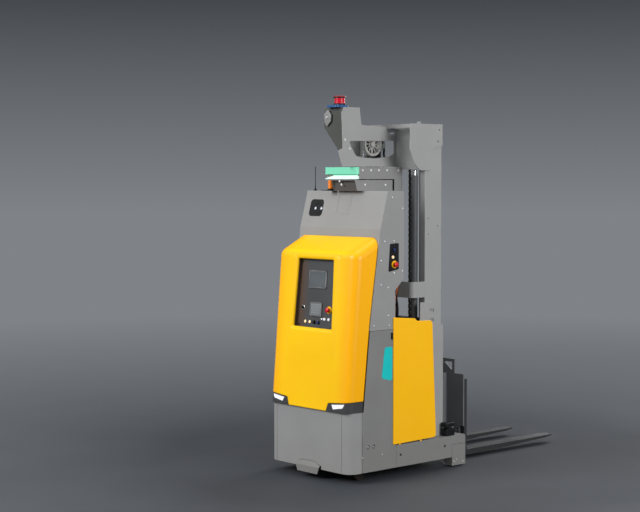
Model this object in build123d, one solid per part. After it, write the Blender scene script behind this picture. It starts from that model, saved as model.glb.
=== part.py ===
from build123d import *
import math
import os

# Automated forklift with a two-stage mast, support arms and a laser navigation head.
# X runs across the truck, Y from the control panel towards the fork tips, Z up. Millimetres.
# Every size below is taken from the front plate (Y 0), the centre plane (X 0) and the floor (Z 0).

# Body
half_width = 495.0            # chassis side, outside face; covers, mast and cabinet go with it
roof_z = 2350.0               # top of the cabinet; hood, mast and navigation head go with it
floor_gap = 85.0              # underside of the chassis above the floor
base_top = 576.0              # top of the grey front base
corner_radius = 91.0          # rounded front corners of the base
front_seam_x = half_width - corner_radius - 6.0   # seam between front plate and corner cover
side_seam_y = 135.0           # seam between corner cover and side wall
skin = 5.0                    # sheet thickness of covers
seam = 3.0                    # visible joint between two covers
fit = 0.3                     # gap between seated pieces
deck_z = 190.0                # underside of the deck that carries the drive and the castors
deck_thick = 12.0
bulkhead_y = 480.0            # wall between drive compartment and battery
bulkhead_thick = 10.0
shoulder_z = 1224.0           # seam between chassis walls and upper cabinet

# Moulded front hood
hood_half = half_width - 11.0
hood_foot_y = -18.0           # lower front edge, proud of the base
hood_brow_y = 84.0            # where the leaning front meets the sloping top
hood_brow_z = roof_z - 500.0
hood_back_y = 330.0           # upper rear edge, against the cabinet
hood_back_z = roof_z - 375.0
hood_waist_y = 228.0          # bend of the side's rear edge
hood_waist_z = 1300.0
hood_heel_y = 150.0           # lower rear edge of the side
hood_round = 75.0
hood_wall = 5.0
window_half = 224.0           # opening for the control panel, at its middle
window_flare = 10.0           # wider at the foot and narrower at the top by this much
window_high = hood_brow_z - 58.0
window_low = window_high - 560.0
window_round = 10.0
reveal = 16.0                 # depth of the opening's yellow rim
rim_thick = 14.0
rim_roll = 8.0                # slanted edge round the opening
panel_deep = 42.0             # the panel's face below the hood's face

# Lamp units in the hood's lower corners
lamp_inner_low = hood_half - 252.0
lamp_inner_high = hood_half - 230.0
lamp_top_inner = 640.0
lamp_top_outer = 664.0
lamp_depth = 30.0
lens_points = [(hood_half - 194, lamp_top_inner - 6), (hood_half - 46, lamp_top_inner + 10),
               (hood_half - 60, lamp_top_inner - 22), (hood_half - 172, lamp_top_inner - 42)]
lens_inset = 2.0
lens_thick = 6.0

# Upper cabinet
cabinet_half = half_width - 5.0
cabinet_crease_y = 340.0
cabinet_crease_z = roof_z - 309.0
cabinet_brow_y = 424.0
cabinet_back_y = 608.0
cabinet_notch_top = roof_z - 720.0    # the rear edge steps forward below this height
cabinet_notch_low = roof_z - 806.0
cabinet_neck_y = 512.0
camera_x = 156.0 - cabinet_half   # window of the front camera on the sloped face
camera_size = (168.0, 148.0)
camera_round = 34.0
camera_drop = 150.0           # centre of the window below the top edge, along the slope
lens_spacing = 74.0
lens_radius = 14.0
lens_shift = 26.0
lens_deep = 10.0

# Side control panels
side_panel_points = [(450, roof_z - 429), (546, roof_z - 424), (547, roof_z - 636), (432, roof_z - 656)]
side_panel_thick = 4.0
side_stop_at = (494.0, roof_z - 597.0)
side_button_at = (486.0, roof_z - 477.0)
side_lamp_at = (478.0, roof_z - 537.0)

# Control panel on the hood, measured along the leaning face from the opening's centre
panel_thick = 4.0
stop_at = (156.0, -128.0)
stop_radius = 21.0
stop_height = 24.0
collar_radius = 31.0
collar_thick = 4.0
key_at = (-165.0, -122.0)
key_radius = 13.0
key_height = 16.0
button_row = -237.0
button_radius = 13.0
button_height = 9.0
lamp_columns = [-127.0, -72.0]
grey_button_x = -19.0
blue_button_x = 32.0
upper_lamp_columns = [107.0, 159.0]
upper_lamp_row = -206.0
display_at = (0.0, 117.0)
display_size = (215.0, 152.0)
pad_at = (-4.0, -130.0)
pad_size = (148.0, 120.0)
frame_high = 9.0              # display and keypad above the panel's face
frame_border = 13.0
frame_round = 10.0
stem_radius = 6.0
stem_length = 12.0
stem_play = 0.05

# Support arms and load wheels
arm_width = 95.0
arm_start = 523.0
arm_end = 1356.0
arm_top = 268.0
arm_wall = 8.0
wheel_box_front = 1193.0
wheel_box_top = 189.0
wheel_box_low = 12.0
load_wheel_radius = 65.0
load_wheel_width = 60.0
axle_radius = 12.0
axle_play = 0.05
arm_scanner_y = (1125.0, 1244.0)
arm_scanner_half = 38.5
arm_scanner_high = 112.0

# Drive unit and castors
drive_y = 300.0
drive_wheel_radius = 115.0
drive_wheel_width = 80.0
turntable_radius = 140.0
seat_z = 262.0                # underside of the raised seat over the drive wheel
drive_axle_radius = 20.0
motor_radius = 95.0
motor_high = 380.0
castor_x = half_width - 165.0
castor_y = 266.0
castor_trail = 40.0
castor_wheel_radius = 65.0
castor_wheel_width = 34.0
castor_gap = 26.0             # between the twin wheels
castor_head_radius = 62.0
kingpin_radius = 18.0
castor_axle_radius = 10.0

# Battery and its yellow side covers
cover_front = 484.0
cover_low = 276.0
cover_high = shoulder_z + 96.0
cover_depth = 8.7
cover_proud = 4.0
battery_half = half_width - arm_width - 2.0
battery_y = (500.0, 852.0)
battery_low = 262.0
battery_high = 905.0
tray_back = 875.0

# Outer mast
mast_x = half_width - arm_width   # outside face of the outer uprights
mast_front = 949.0
mast_back = 1149.0
mast_top = roof_z + 558.0
mast_foot = 97.0
web = 12.0
flange = 14.0
flange_reach = 60.0
mast_play = 0.5               # sliding gap between the nested uprights
plate = 8.0                   # thickness of gussets and brackets

# Inner mast
inner_web = 12.0
inner_flange = 12.0
inner_reach = 69.0
inner_foot = 150.0
inner_top = mast_top - 8.0
head_low = mast_top - 52.0    # underside of the head beam
inner_beams = (700.0, 1190.0)
lift_stage = 2000.0           # travel of each stage

# Lift cylinders, chains and pulleys
cylinder_x = mast_x - 95.0
cylinder_y = 918.0
barrel_radius = 29.0
barrel_bore = 24.0
barrel_low = 140.0
barrel_high = mast_top - 428.0
rod_radius = 19.0
rod_play = 0.05
rod_low = 300.0
pulley_x = mast_x - 165.0
pulley_y = 1010.0
pulley_z = head_low - 91.0
pulley_radius = 76.0
pulley_width = 34.0
groove = 5.0
chain_width = 24.0
chain_thick = 10.0
upper_beam = (1180.0, 1280.0)
lower_beam = (560.0, 680.0)

# Carriage and forks
carriage_low = 300.0
carriage_high = 740.0
roller_width = 44.0
roller_play = 0.3
spine_half = 100.0            # half width of the box between mast and fork plate
plate_front = 1540.0
plate_thick = 12.0
plate_half = 300.0
plate_low = 288.0
plate_high = 745.0
bracket_half = 193.0
bracket_high = 868.0
fork_face = 1587.0            # load face of the fork shanks
fork_length = 1200.0
fork_x = 239.0
fork_width = 120.0
fork_thick = 35.0
fork_top = 78.0
fork_heel_low = 30.0
fork_tip_thick = 14.0
shank_high = 700.0

# Sensor boxes on the roof
sensor_half = 195.0
sensor_front = 358.0
sensor_back = 883.0
sensor_low = roof_z + 97.0
sensor_high = roof_z + 196.0
band_depth = 26.0
band_low = roof_z + 137.0
lip_high = roof_z + 122.0
lip_slant = 85.0              # length of the lip's slanted left end
lower_front = 338.0
lower_left = -96.0
sheet = 3.0
lower_back = 772.0
lower_high = roof_z + 90.0
leg_front = 790.0
antenna_x = -420.0
antenna_y = 450.0
beacon_x = -150.0
beacon_y = 384.0

# Navigation head on its console
console_x = 115.0             # outside face of the console plate
console_thick = 6.0
console_low = roof_z + 201.0
console_back = 893.0
tower_front = 262.0
tower_back = 464.0
tower_top = roof_z + 687.0
tower_low = roof_z + 525.0
head_y = 345.0
head_radius = 43.0
head_cap_radius = 52.0

# The origin stands under the middle of the whole truck.
fork_tip = fork_face + fork_length
middle = (fork_tip + hood_foot_y) / 2


def rect(low_a, low_b, high_a, high_b):
    return [(low_a, low_b), (high_a, low_b), (high_a, high_b), (low_a, high_b)]


def outline(points, rounds=()):
    """Closed face through the points, with named corners rounded."""
    face = make_face(Polyline(*points, close=True))
    for corner, radius in rounds:
        spot = Vector(*corner)
        nearest = min(face.vertices(), key=lambda v: (Vector(v.X, v.Y) - spot).length)
        face = fillet(nearest, radius)
    return face


def slab_x(points, low, high, rounds=()):
    """Outline in Y and Z, thick along X."""
    return extrude(Plane.YZ.offset(low) * outline(points, rounds), high - low)


def slab_y(points, low, high, rounds=()):
    """Outline in X and Z, thick along Y."""
    return extrude(Plane.XZ.offset(-high) * outline(points, rounds), high - low)


def slab_z(points, low, high, rounds=()):
    """Outline in X and Y, thick along Z."""
    return extrude(Plane.XY.offset(low) * outline(points, rounds), high - low)


def bar_x(y, z, radius, low, high):
    return extrude(Plane.YZ.offset(low) * Pos(y, z) * Circle(radius), high - low)


def bar_z(x, y, radius, low, high):
    return extrude(Plane.XY.offset(low) * Pos(x, y) * Circle(radius), high - low)


def pair(shape):
    """The piece and its mirror image on the other side of the truck."""
    return shape + mirror(shape, about=Plane.YZ)


def save(name, shape):
    export_step(Pos(0, -middle, 0) * shape, f"parts/{name}.step")


# Base covers and chassis

def base_form(inset, low, high, back):
    side = half_width - inset
    corners = [((sign * side, inset), corner_radius - inset) for sign in (-1, 1)]
    return slab_z(rect(-side, inset, side, back), low, high, corners)


tow_half_top = 150.0
tow_half_low = 121.0
tow_arch_z = 140.0
tow_shoulder_z = 114.0
tow_low = 44.0
tow_proud = 17.0


def tow_outline(grow):
    top = tow_half_top + grow
    return [(-top - grow, floor_gap - grow), (top + grow, floor_gap - grow), (top, tow_shoulder_z),
            (top / 2, tow_arch_z + grow), (-top / 2, tow_arch_z + grow), (-top, tow_shoulder_z)]


def front_shell():
    shell = base_form(0, floor_gap, base_top, side_seam_y - seam / 2)
    return shell - base_form(skin, floor_gap, base_top, side_seam_y)


def front_plate():
    reach = front_seam_x - seam / 2
    sheet = front_shell() & slab_y(rect(-reach, floor_gap, reach, base_top), 0, skin)
    notch = tow_outline(seam)
    rounds = [(notch[3], tow_arch_z / 2), (notch[4], tow_arch_z / 2)]
    return sheet - slab_y(notch, 0, skin, rounds)


def corner_covers():
    keep = slab_z(rect(front_seam_x + seam / 2, 0, half_width, side_seam_y), floor_gap, base_top)
    return pair(front_shell() & keep)


def tow_flap():
    """Pressed flap over the towing eye, swelling forward and down from the front plate."""
    side = [(0, tow_arch_z), (-tow_proud, tow_shoulder_z - tow_proud), (-tow_proud, tow_low),
            (skin - tow_proud, tow_low), (skin - tow_proud, tow_shoulder_z - tow_proud),
            (skin, tow_arch_z - skin), (2 * skin, tow_arch_z - skin), (2 * skin, tow_arch_z)]
    pressed = slab_x(side, -tow_half_top, tow_half_top, [(side[1], tow_proud), (side[4], tow_proud - skin)])
    shape = [(-tow_half_low, tow_low), (tow_half_low, tow_low), (tow_half_top, tow_shoulder_z),
             (tow_half_top / 2, tow_arch_z), (-tow_half_top / 2, tow_arch_z),
             (-tow_half_top, tow_shoulder_z)]
    rounds = [(shape[3], tow_arch_z / 2), (shape[4], tow_arch_z / 2)]
    face = pressed & slab_y(shape, -tow_proud, 2 * skin, rounds)
    hook = slab_y(rect(-tow_half_low, floor_gap, tow_half_low, tow_arch_z - skin), skin + fit, 2 * skin)
    return face + hook


def chassis_frame():
    """Welded floor, deck, bulkhead, side frames and battery tray."""
    inner = skin + fit
    floor = base_form(inner, floor_gap, floor_gap + plate, bulkhead_y)
    hook = rect(-tow_half_low - seam, 0, tow_half_low + seam, 2 * skin + fit)
    floor -= slab_z(hook, floor_gap, floor_gap + plate)
    deck = base_form(inner, deck_z, deck_z + deck_thick, bulkhead_y)
    for x in (-castor_x, castor_x):
        floor -= bar_z(x, castor_y, castor_trail + castor_wheel_radius + 15, floor_gap, floor_gap + plate)
        deck -= bar_z(x, castor_y, kingpin_radius + stem_play, deck_z, deck_z + deck_thick)
    floor -= bar_z(0, drive_y, turntable_radius + 15, floor_gap, floor_gap + plate)
    drum = turntable_radius + 6
    deck -= bar_z(0, drive_y, drum, deck_z, deck_z + deck_thick)
    drum_wall = bar_z(0, drive_y, drum + plate, deck_z, seat_z + deck_thick)
    deck += drum_wall - bar_z(0, drive_y, drum, deck_z, seat_z)
    deck -= bar_z(0, drive_y, motor_radius + 5, seat_z, seat_z + deck_thick)
    bulkhead = slab_y(rect(-half_width + inner, floor_gap, half_width - inner, shoulder_z - fit),
                      bulkhead_y, bulkhead_y + bulkhead_thick)
    frame_side = [(side_seam_y, floor_gap), (bulkhead_y, floor_gap), (bulkhead_y, shoulder_z - fit),
                  (hood_waist_y + 40, shoulder_z - fit), (side_seam_y + 40, base_top),
                  (side_seam_y, base_top - 60)]
    frame = slab_x(frame_side, half_width - inner - plate, half_width - inner)
    window = [(bulkhead_y - 60, deck_z + 90), (bulkhead_y - 60, shoulder_z - 90),
              (hood_waist_y + 95, shoulder_z - 90), (side_seam_y + 100, base_top),
              (side_seam_y + 70, deck_z + 90)]
    frame -= slab_x(window, half_width - inner - plate, half_width - inner, [(p, 25) for p in window])
    tray_side = mast_x - fit
    tray = slab_z(rect(-tray_side, bulkhead_y + bulkhead_thick, tray_side, tray_back),
                  battery_low - deck_thick, battery_low)
    post = slab_z(rect(tray_side - 60, bulkhead_y + bulkhead_thick, tray_side, mast_front - fit),
                  floor_gap, battery_low - deck_thick)
    return floor + deck + bulkhead + pair(frame) + tray + pair(post)


service_top = 402.0           # top of the service panel's groove


def side_walls():
    """Grey side skins from the corner seam back to the battery cover, with the service panel's groove."""
    seam_front = side_seam_y + seam / 2
    rise = [(seam_front, floor_gap), (arm_start - seam, floor_gap), (arm_start - seam, cover_low - seam),
            (cover_front - seam, cover_low - seam), (cover_front - seam, shoulder_z - seam / 2),
            (hood_edge_y(shoulder_z) + seam, shoulder_z - seam / 2),
            (hood_edge_y(base_top) + seam, base_top), (seam_front, base_top)]
    wall = slab_x(rise, half_width - skin, half_width)
    front, back, top = side_seam_y + 6, side_seam_y + 220, service_top
    line = [(front, floor_gap), (front, top), (back, top), (back, top - seam), (front + seam, top - seam),
            (front + seam, floor_gap)]
    wall -= slab_x(line, half_width - skin / 2, half_width, [(line[1], 15), (line[4], 12)])
    for y in (205, 266):
        wall -= bar_x(y, 288, 17, half_width - skin, half_width)
    return pair(wall)


# Hood, lamps and control panel

hood_lean = (hood_brow_y - hood_foot_y) / (hood_brow_z - base_top)
hood_low = base_top + fit
window_z = (window_low + window_high) / 2
lean_length = math.hypot(1, hood_lean)
panel_plane = Plane(origin=(0, hood_foot_y + hood_lean * (window_z - base_top), window_z),
                    x_dir=(1, 0, 0), z_dir=(0, -1, hood_lean))
window_tall = (window_high - window_low) * lean_length


def panel_opening(grow):
    """The opening's outline on the leaning face, grown all round."""
    tall = window_tall / 2 + grow
    low, high = window_half + window_flare + grow, window_half - window_flare + grow
    corners = [(-low, -tall), (low, -tall), (high, tall), (-high, tall)]
    return outline(corners, [(corner, window_round + grow) for corner in corners])


def hood_edge_y(z):
    """Rear edge of the hood's side at a height."""
    if z < hood_waist_z:
        return hood_heel_y + (hood_waist_y - hood_heel_y) * (z - base_top) / (hood_waist_z - base_top)
    return hood_waist_y + (hood_back_y - hood_waist_y) * (z - hood_waist_z) / (hood_back_z - hood_waist_z)


def hood_form(inset, open_past=0.0):
    """Moulded outer form, moved in by the inset; the rear and the foot run on by open_past."""
    half = hood_half - inset
    foot_z = hood_low - open_past
    brow = (hood_brow_y + inset, hood_brow_z - inset / 2)
    side = [(hood_foot_y + inset - hood_lean * open_past, foot_z), brow,
            (hood_back_y + open_past, hood_back_z - inset + open_past / 2),
            (hood_waist_y + open_past, hood_waist_z), (hood_heel_y + open_past, foot_z)]
    body = slab_x(side, -half, half)
    at_brow = [e for e in body.edges()
               if any(abs(v.Y - brow[0]) < 0.01 and abs(v.Z - brow[1]) < 0.01 for v in e.vertices())]
    return fillet(at_brow, hood_round - inset)


def lamp_wedge(grow):
    """Region of one lamp unit, seen from the front."""
    reach = half_width + 20
    shape = [(lamp_inner_low - grow, base_top - 20), (lamp_inner_low - grow, base_top),
             (lamp_inner_high - grow, lamp_top_inner + grow), (reach, lamp_top_outer + grow),
             (reach, base_top - 20)]
    return slab_y(shape, hood_foot_y - 10, hood_back_y, [(shape[2], 12)])


def hood():
    """Moulded shell with a rolled rim round the panel opening and a foot flange."""
    shell = hood_form(0) - hood_form(hood_wall, 4 * hood_wall)
    shell += panel_plane * Pos(0, 0, -reveal) * extrude(panel_opening(rim_thick), reveal)
    shell -= panel_plane * Pos(0, 0, -2 * reveal) * extrude(panel_opening(0), 4 * reveal)
    mouth = [e for e in shell.edges()
             if abs(panel_plane.to_local_coords(e.center()).Z) < 0.01
             and abs(panel_plane.to_local_coords(e.center()).X) < window_half + rim_thick
             and abs(panel_plane.to_local_coords(e.center()).Y) < window_tall / 2 + 1]
    shell = chamfer(mouth, rim_roll)
    base = slab_z(rect(-half_width, hood_foot_y, half_width, hood_back_y), hood_low, hood_low + hood_wall)
    foot = hood_form(0) & base
    shell += foot - hood_form(lamp_depth, 4 * hood_wall)
    return shell - pair(lamp_wedge(seam))


def light_housings():
    body = (hood_form(0) - hood_form(lamp_depth, 4 * hood_wall)) & lamp_wedge(0)
    lens = slab_y(lens_points, hood_foot_y - 10, side_seam_y)
    return pair(body - (lens - hood_form(lens_inset + lens_thick, 4 * hood_wall)))


def headlamp_lenses():
    lens = slab_y(lens_points, hood_foot_y - 10, side_seam_y)
    sheet = hood_form(lens_inset) - hood_form(lens_inset + lens_thick, 4 * hood_wall)
    return pair(sheet & lens)


def on_panel(x, up, sketch, start, height):
    """A piece standing on the control panel's face, start above it."""
    return panel_plane * Pos(x, up, start - panel_deep) * extrude(sketch, height)


button_travel = 5.0
stop_travel = 6.0
side_face = cabinet_half + fit


def control_panel():
    """Dark tray behind the opening: its face, its side walls and the bores for what it carries."""
    around = panel_opening(panel_thick)
    board = on_panel(0, 0, around, -panel_thick, panel_thick)
    board += on_panel(0, 0, around - panel_opening(0), 0, panel_deep - reveal - fit)
    holes = [(stop_at, stem_radius), (key_at, stem_radius),
             ((grey_button_x, button_row), stem_radius), ((blue_button_x, button_row), stem_radius)]
    for (x, up), radius in holes:
        board -= on_panel(x, up, Circle(radius + stem_play), -panel_thick, panel_thick)
    return board


def display():
    """Operator display and the keypad under it, each a framed unit with rounded corners."""
    units = []
    for (x, up), (wide, tall) in ((display_at, display_size), (pad_at, pad_size)):
        unit = on_panel(x, up, RectangleRounded(wide, tall, frame_round), 0, frame_high)
        unit = chamfer(unit.faces().sort_by(Axis(panel_plane.origin, panel_plane.z_dir))[-1].edges(), 3)
        glass = RectangleRounded(wide - 2 * frame_border, tall - 2 * frame_border, frame_round / 2)
        unit -= on_panel(x, up, glass, frame_high - 2, 2)
        units.append(unit)
    return units[0] + units[1]


def mushroom(sketch_plane, radius, height, stem_down):
    """Mushroom head with a domed top on a straight stem; the plane lies at the head's seat."""
    half = Polyline((0, -stem_down), (stem_radius, -stem_down), (stem_radius, 0), (radius * 0.7, 0),
                    (radius, height * 0.45), (radius, height * 0.7))
    rise = height * 0.3
    ball = (radius ** 2 + rise ** 2) / (2 * rise)
    halfway = math.asin(radius / ball) / 2
    crown = (ball * math.sin(halfway), height - ball + ball * math.cos(halfway))
    dome = ThreePointArc((radius, height * 0.7), crown, (0, height))
    closing = Line((0, height), (0, -stem_down))
    profile = make_face([half, dome, closing])
    turned = revolve(Plane.XZ * profile, Axis.Z)
    return sketch_plane * turned


def panel_seat(x, up, start):
    spot = panel_plane * Pos(x, up, start - panel_deep)
    return Plane(spot)


def side_seat(at, start, sign):
    return Plane(origin=(sign * (side_face + start), at[0], at[1]), x_dir=(0, sign, 0), z_dir=(sign, 0, 0))


def front_stop():
    return mushroom(panel_seat(*stop_at, collar_thick + stop_travel + 1), stop_radius, stop_height,
                    collar_thick + stop_travel + 1 + panel_thick + stem_length)


def stop_collars():
    """Yellow discs behind the three stop buttons."""
    front = on_panel(*stop_at, Circle(collar_radius) - Circle(stem_radius + stem_play), 0, collar_thick)
    rings = [front]
    for sign in (-1, 1):
        seat = side_seat(side_stop_at, side_panel_thick, sign)
        rings.append(seat * extrude(Circle(collar_radius) - Circle(stem_radius + stem_play), collar_thick))
    return Compound(rings)


def round_button(plane, radius, height, stem_down):
    """Flat push button with a rounded rim on its stem."""
    cap = Pos(0, 0, button_travel + 1) * extrude(Circle(radius), height)
    cap = fillet(cap.faces().sort_by(Axis.Z)[-1].edges(), 2)
    stem = Pos(0, 0, -stem_down) * extrude(Circle(stem_radius), stem_down + button_travel + 1)
    return plane * (cap + stem)


def panel_button(x):
    return round_button(panel_seat(x, button_row, 0), button_radius, button_height,
                        panel_thick + stem_length)


def key_switch():
    """Rotary switch knob with a finger bar."""
    plane = panel_seat(*key_at, fit)
    knob = extrude(Circle(key_radius), key_height / 2)
    knob += extrude(RectangleRounded(7, 2 * key_radius - 2, 2), key_height)
    stem = Pos(0, 0, -panel_thick - stem_length) * extrude(Circle(stem_radius), panel_thick + stem_length)
    return plane * (knob + stem)


def lamp_dome(plane, radius):
    dome = extrude(Circle(radius), 7)
    return plane * fillet(dome.faces().sort_by(Axis.Z)[-1].edges(), 4)


def indicator_lamps():
    lamps = [lamp_dome(panel_seat(x, button_row, 0), button_radius) for x in lamp_columns]
    lamps += [lamp_dome(panel_seat(x, upper_lamp_row, 0), button_radius) for x in upper_lamp_columns]
    lamps += [lamp_dome(side_seat(side_lamp_at, side_panel_thick, sign), button_radius) for sign in (-1, 1)]
    return Compound(lamps)


def side_control_plates():
    """Dark plates set on the cabinet sides, bored for the stop button and the push button."""
    plates = []
    corners = [(p, 10) for p in side_panel_points]
    right = slab_x(side_panel_points, side_face, side_face + side_panel_thick, corners)
    for at in (side_stop_at, side_button_at):
        right -= bar_x(at[0], at[1], stem_radius + stem_play, side_face, side_face + side_panel_thick)
    plates.append(right)
    plates.append(mirror(right, about=Plane.YZ))
    return Compound(plates)


def side_stop(sign):
    start = side_panel_thick + collar_thick + stop_travel + 1
    return mushroom(side_seat(side_stop_at, start, sign), stop_radius, stop_height, start + stem_length)


def side_button(sign):
    return round_button(side_seat(side_button_at, side_panel_thick, sign), button_radius, button_height,
                        side_panel_thick + stem_length)


# Upper cabinet

def cabinet_profile(inset):
    low = shoulder_z + seam / 2
    gap = seam + inset
    return [(hood_edge_y(low) + gap, low), (hood_edge_y(hood_waist_z) + gap, hood_waist_z),
            (hood_edge_y(hood_back_z) + gap, hood_back_z), (cabinet_crease_y + inset, cabinet_crease_z),
            (cabinet_brow_y + inset, roof_z - inset), (cabinet_back_y - inset, roof_z - inset),
            (cabinet_back_y - inset, cabinet_notch_top), (cabinet_neck_y - inset, cabinet_notch_low),
            (cabinet_neck_y - inset, low)]


slope_y = cabinet_brow_y - cabinet_crease_y
slope_z = roof_z - cabinet_crease_z
slope_long = math.hypot(slope_y, slope_z)


def slope_plane(x, drop):
    """Plane on the sloped face, drop below the top edge along the slope, facing out."""
    share = drop / slope_long
    return Plane(origin=(x, cabinet_brow_y - slope_y * share, roof_z - slope_z * share),
                 x_dir=(1, 0, 0), z_dir=(0, -slope_z, slope_y))


camera_recess = 14.0
harness_radius = 9.0
harness_rise = cabinet_notch_top - 10.0 - battery_high
# distance in from the cabinet's side, Y, and share of the rise above the battery
harness_course = [(50, 530, 1.0), (43, 542, 0.9161), (38, 552, 0.8322), (32, 566, 0.7343),
                  (40, 580, 0.6364), (60, 592, 0.5385), (86, 600, 0.4476), (110, 604, 0.3566),
                  (130, 606, 0.2657), (156, 600, 0.1748), (168, 594, 0.0839)]
harness_points = [(cabinet_half - x, y, battery_high + share * harness_rise)
                  for x, y, share in harness_course]


def cabinet():
    """Folded cabinet shell, open below, with the camera pocket, a service flap line and side bores."""
    body = slab_x(cabinet_profile(0), -cabinet_half, cabinet_half)
    hollow = slab_x(cabinet_profile(skin), -cabinet_half + skin, cabinet_half - skin)
    shell = body - hollow
    pocket = extrude(RectangleRounded(*camera_size, camera_round), 20)
    shell -= slope_plane(camera_x, camera_drop) * Pos(0, 0, -20) * pocket
    flap = slope_plane(4, 118)
    shell -= flap * Pos(0, 0, -2) * extrude(Rectangle(154, 166) - Rectangle(150, 162), 2)
    for at in (side_stop_at, side_button_at):
        for low in (-cabinet_half, cabinet_half - skin):
            shell -= bar_x(at[0], at[1], stem_radius + 3, low, low + skin)
    start, then = Vector(*harness_points[0]), Vector(*harness_points[1])
    passage = Plane(origin=start, z_dir=then - start) * extrude(Circle(harness_radius + 3), 100)
    return shell - passage


def camera_window():
    """Black camera bezel set in the cabinet pocket, with its two lenses."""
    plane = slope_plane(camera_x, camera_drop)
    wide, tall = camera_size[0] - fit, camera_size[1] - fit
    front = RectangleRounded(wide, tall, camera_round - fit / 2)
    bezel = Pos(0, 0, -camera_recess) * extrude(front, camera_recess - 3)
    for x in (-lens_spacing / 2, lens_spacing / 2):
        bezel -= Pos(x + lens_shift, -4, -lens_deep) * extrude(Circle(lens_radius + 3), lens_deep)
        barrel = Pos(x + lens_shift, -4, -lens_deep) * extrude(Circle(lens_radius), lens_deep - 3)
        bezel += fillet(barrel.faces().sort_by(Axis.Z)[-1].edges(), 5)
    return plane * bezel


# Battery and side covers

def cover_outline():
    return [(cover_front, cover_low), (cover_front, cover_high), (736, cover_high - 22),
            (760, cover_high - 44), (925, cover_high - 50), (942, cover_high - 74), (990, cover_low + 8)]


def battery_covers():
    """Pressed yellow side covers, hollow behind, standing on two tabs on the support arm."""
    low, high = half_width + cover_proud - cover_depth, half_width + cover_proud
    shape = cover_outline()
    rounds = list(zip(shape, (8, 10, 20, 20, 14, 14, 25)))
    body = slab_x(shape, low, high, rounds)
    rim = body.faces().sort_by(Axis.X)[-1].edges()
    body = fillet(rim, cover_proud)
    wall = 3
    inner = [(cover_front + wall, cover_low + 2 * wall), (cover_front + wall, cover_high - 10),
             (730, cover_high - 30), (754, cover_high - 52), (918, cover_high - 58), (932, cover_high - 80),
             (978, cover_low + 8 + 2 * wall)]
    body -= slab_x(inner, low, high - wall)
    for y in (565, 810):
        body += slab_x(rect(y - 9, arm_top, y + 9, cover_low + 10), low, high - cover_proud)
    return pair(body)


def battery():
    """Traction battery: steel trough with a lid of cells and two lifting eyes."""
    front, back = battery_y
    trough = slab_z(rect(-battery_half, front, battery_half, back), battery_low, battery_high)
    trough = fillet(trough.edges().filter_by(Axis.Z), 12)
    well = rect(-battery_half + 6, front + 6, battery_half - 6, back - 6)
    trough -= slab_z(well, battery_high - 30, battery_high)
    columns, rows = 6, 2
    wide = (2 * battery_half - 24) / columns
    deep = (back - front - 24) / rows
    cells = trough
    for i in range(columns):
        for j in range(rows):
            x = -battery_half + 12 + (i + 0.5) * wide
            y = front + 12 + (j + 0.5) * deep
            cells += slab_z(rect(x - wide / 2 + 4, y - deep / 2 + 4, x + wide / 2 - 4, y + deep / 2 - 4),
                            battery_high - 30, battery_high - 12)
            cells += bar_z(x, y, 14, battery_high - 12, battery_high - 2)
    return cells


# Support arms

def load_arms():
    """Box-section arms that run past the mast and over the load wheels."""
    low_x = half_width - arm_width
    box_front = wheel_box_front - seam
    shape = [(arm_start, floor_gap), (box_front, floor_gap), (box_front, wheel_box_top + seam),
             (arm_end, wheel_box_top + seam), (arm_end, arm_top), (arm_start, arm_top)]
    arm = slab_x(shape, low_x, half_width, [(shape[4], 22)])
    arm -= slab_x(rect(arm_start, floor_gap + arm_wall, box_front - arm_wall, arm_top - arm_wall),
                  low_x + arm_wall, half_width - arm_wall)
    for y, z in ((575, 183), (1103, 190)):
        arm -= bar_x(y, z, 11, half_width - arm_wall, half_width)
    return pair(arm)


wheel_x = half_width - arm_width / 2
load_axle_y = (wheel_box_front + arm_end) / 2


def wheel_housings():
    """End boxes under the arms, open below, each with its axle and a skid plate in front."""
    low_x = half_width - arm_width
    low_z = wheel_box_low
    box = slab_x(rect(wheel_box_front, low_z, arm_end, wheel_box_top), low_x, half_width,
                 [((arm_end, wheel_box_top), 6)])
    box -= slab_x(rect(wheel_box_front + arm_wall, low_z, arm_end - arm_wall, wheel_box_top - arm_wall),
                  low_x + arm_wall, half_width - arm_wall)
    box += bar_x(load_axle_y, load_wheel_radius, axle_radius, low_x + arm_wall, half_width - arm_wall)
    for side_x in (low_x + arm_wall, half_width - arm_wall - 5):
        box += bar_x(load_axle_y, load_wheel_radius, axle_radius + 8, side_x, side_x + 5)
    front, top = wheel_box_front, floor_gap - fit
    skid = [(front, low_z), (front, low_z + plate), (front - 90, top), (front - 90 - plate, top)]
    box += slab_x(skid, low_x, low_x + plate)
    return pair(box)


def load_wheel(sign):
    """Tread and hub of one load wheel, turning on its axle."""
    half = load_wheel_width / 2
    tread = bar_x(load_axle_y, load_wheel_radius, load_wheel_radius, wheel_x - half, wheel_x + half)
    tread = fillet(tread.edges().filter_by(GeomType.CIRCLE), 5)
    for low in (wheel_x - half, wheel_x + half - 6):
        tread -= bar_x(load_axle_y, load_wheel_radius, load_wheel_radius - 16, low, low + 6)
    tread += bar_x(load_axle_y, load_wheel_radius, axle_radius + 9, wheel_x - half, wheel_x + half)
    tread -= bar_x(load_axle_y, load_wheel_radius, axle_radius + axle_play, wheel_x - half, wheel_x + half)
    return tread if sign > 0 else mirror(tread, about=Plane.YZ)


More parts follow.
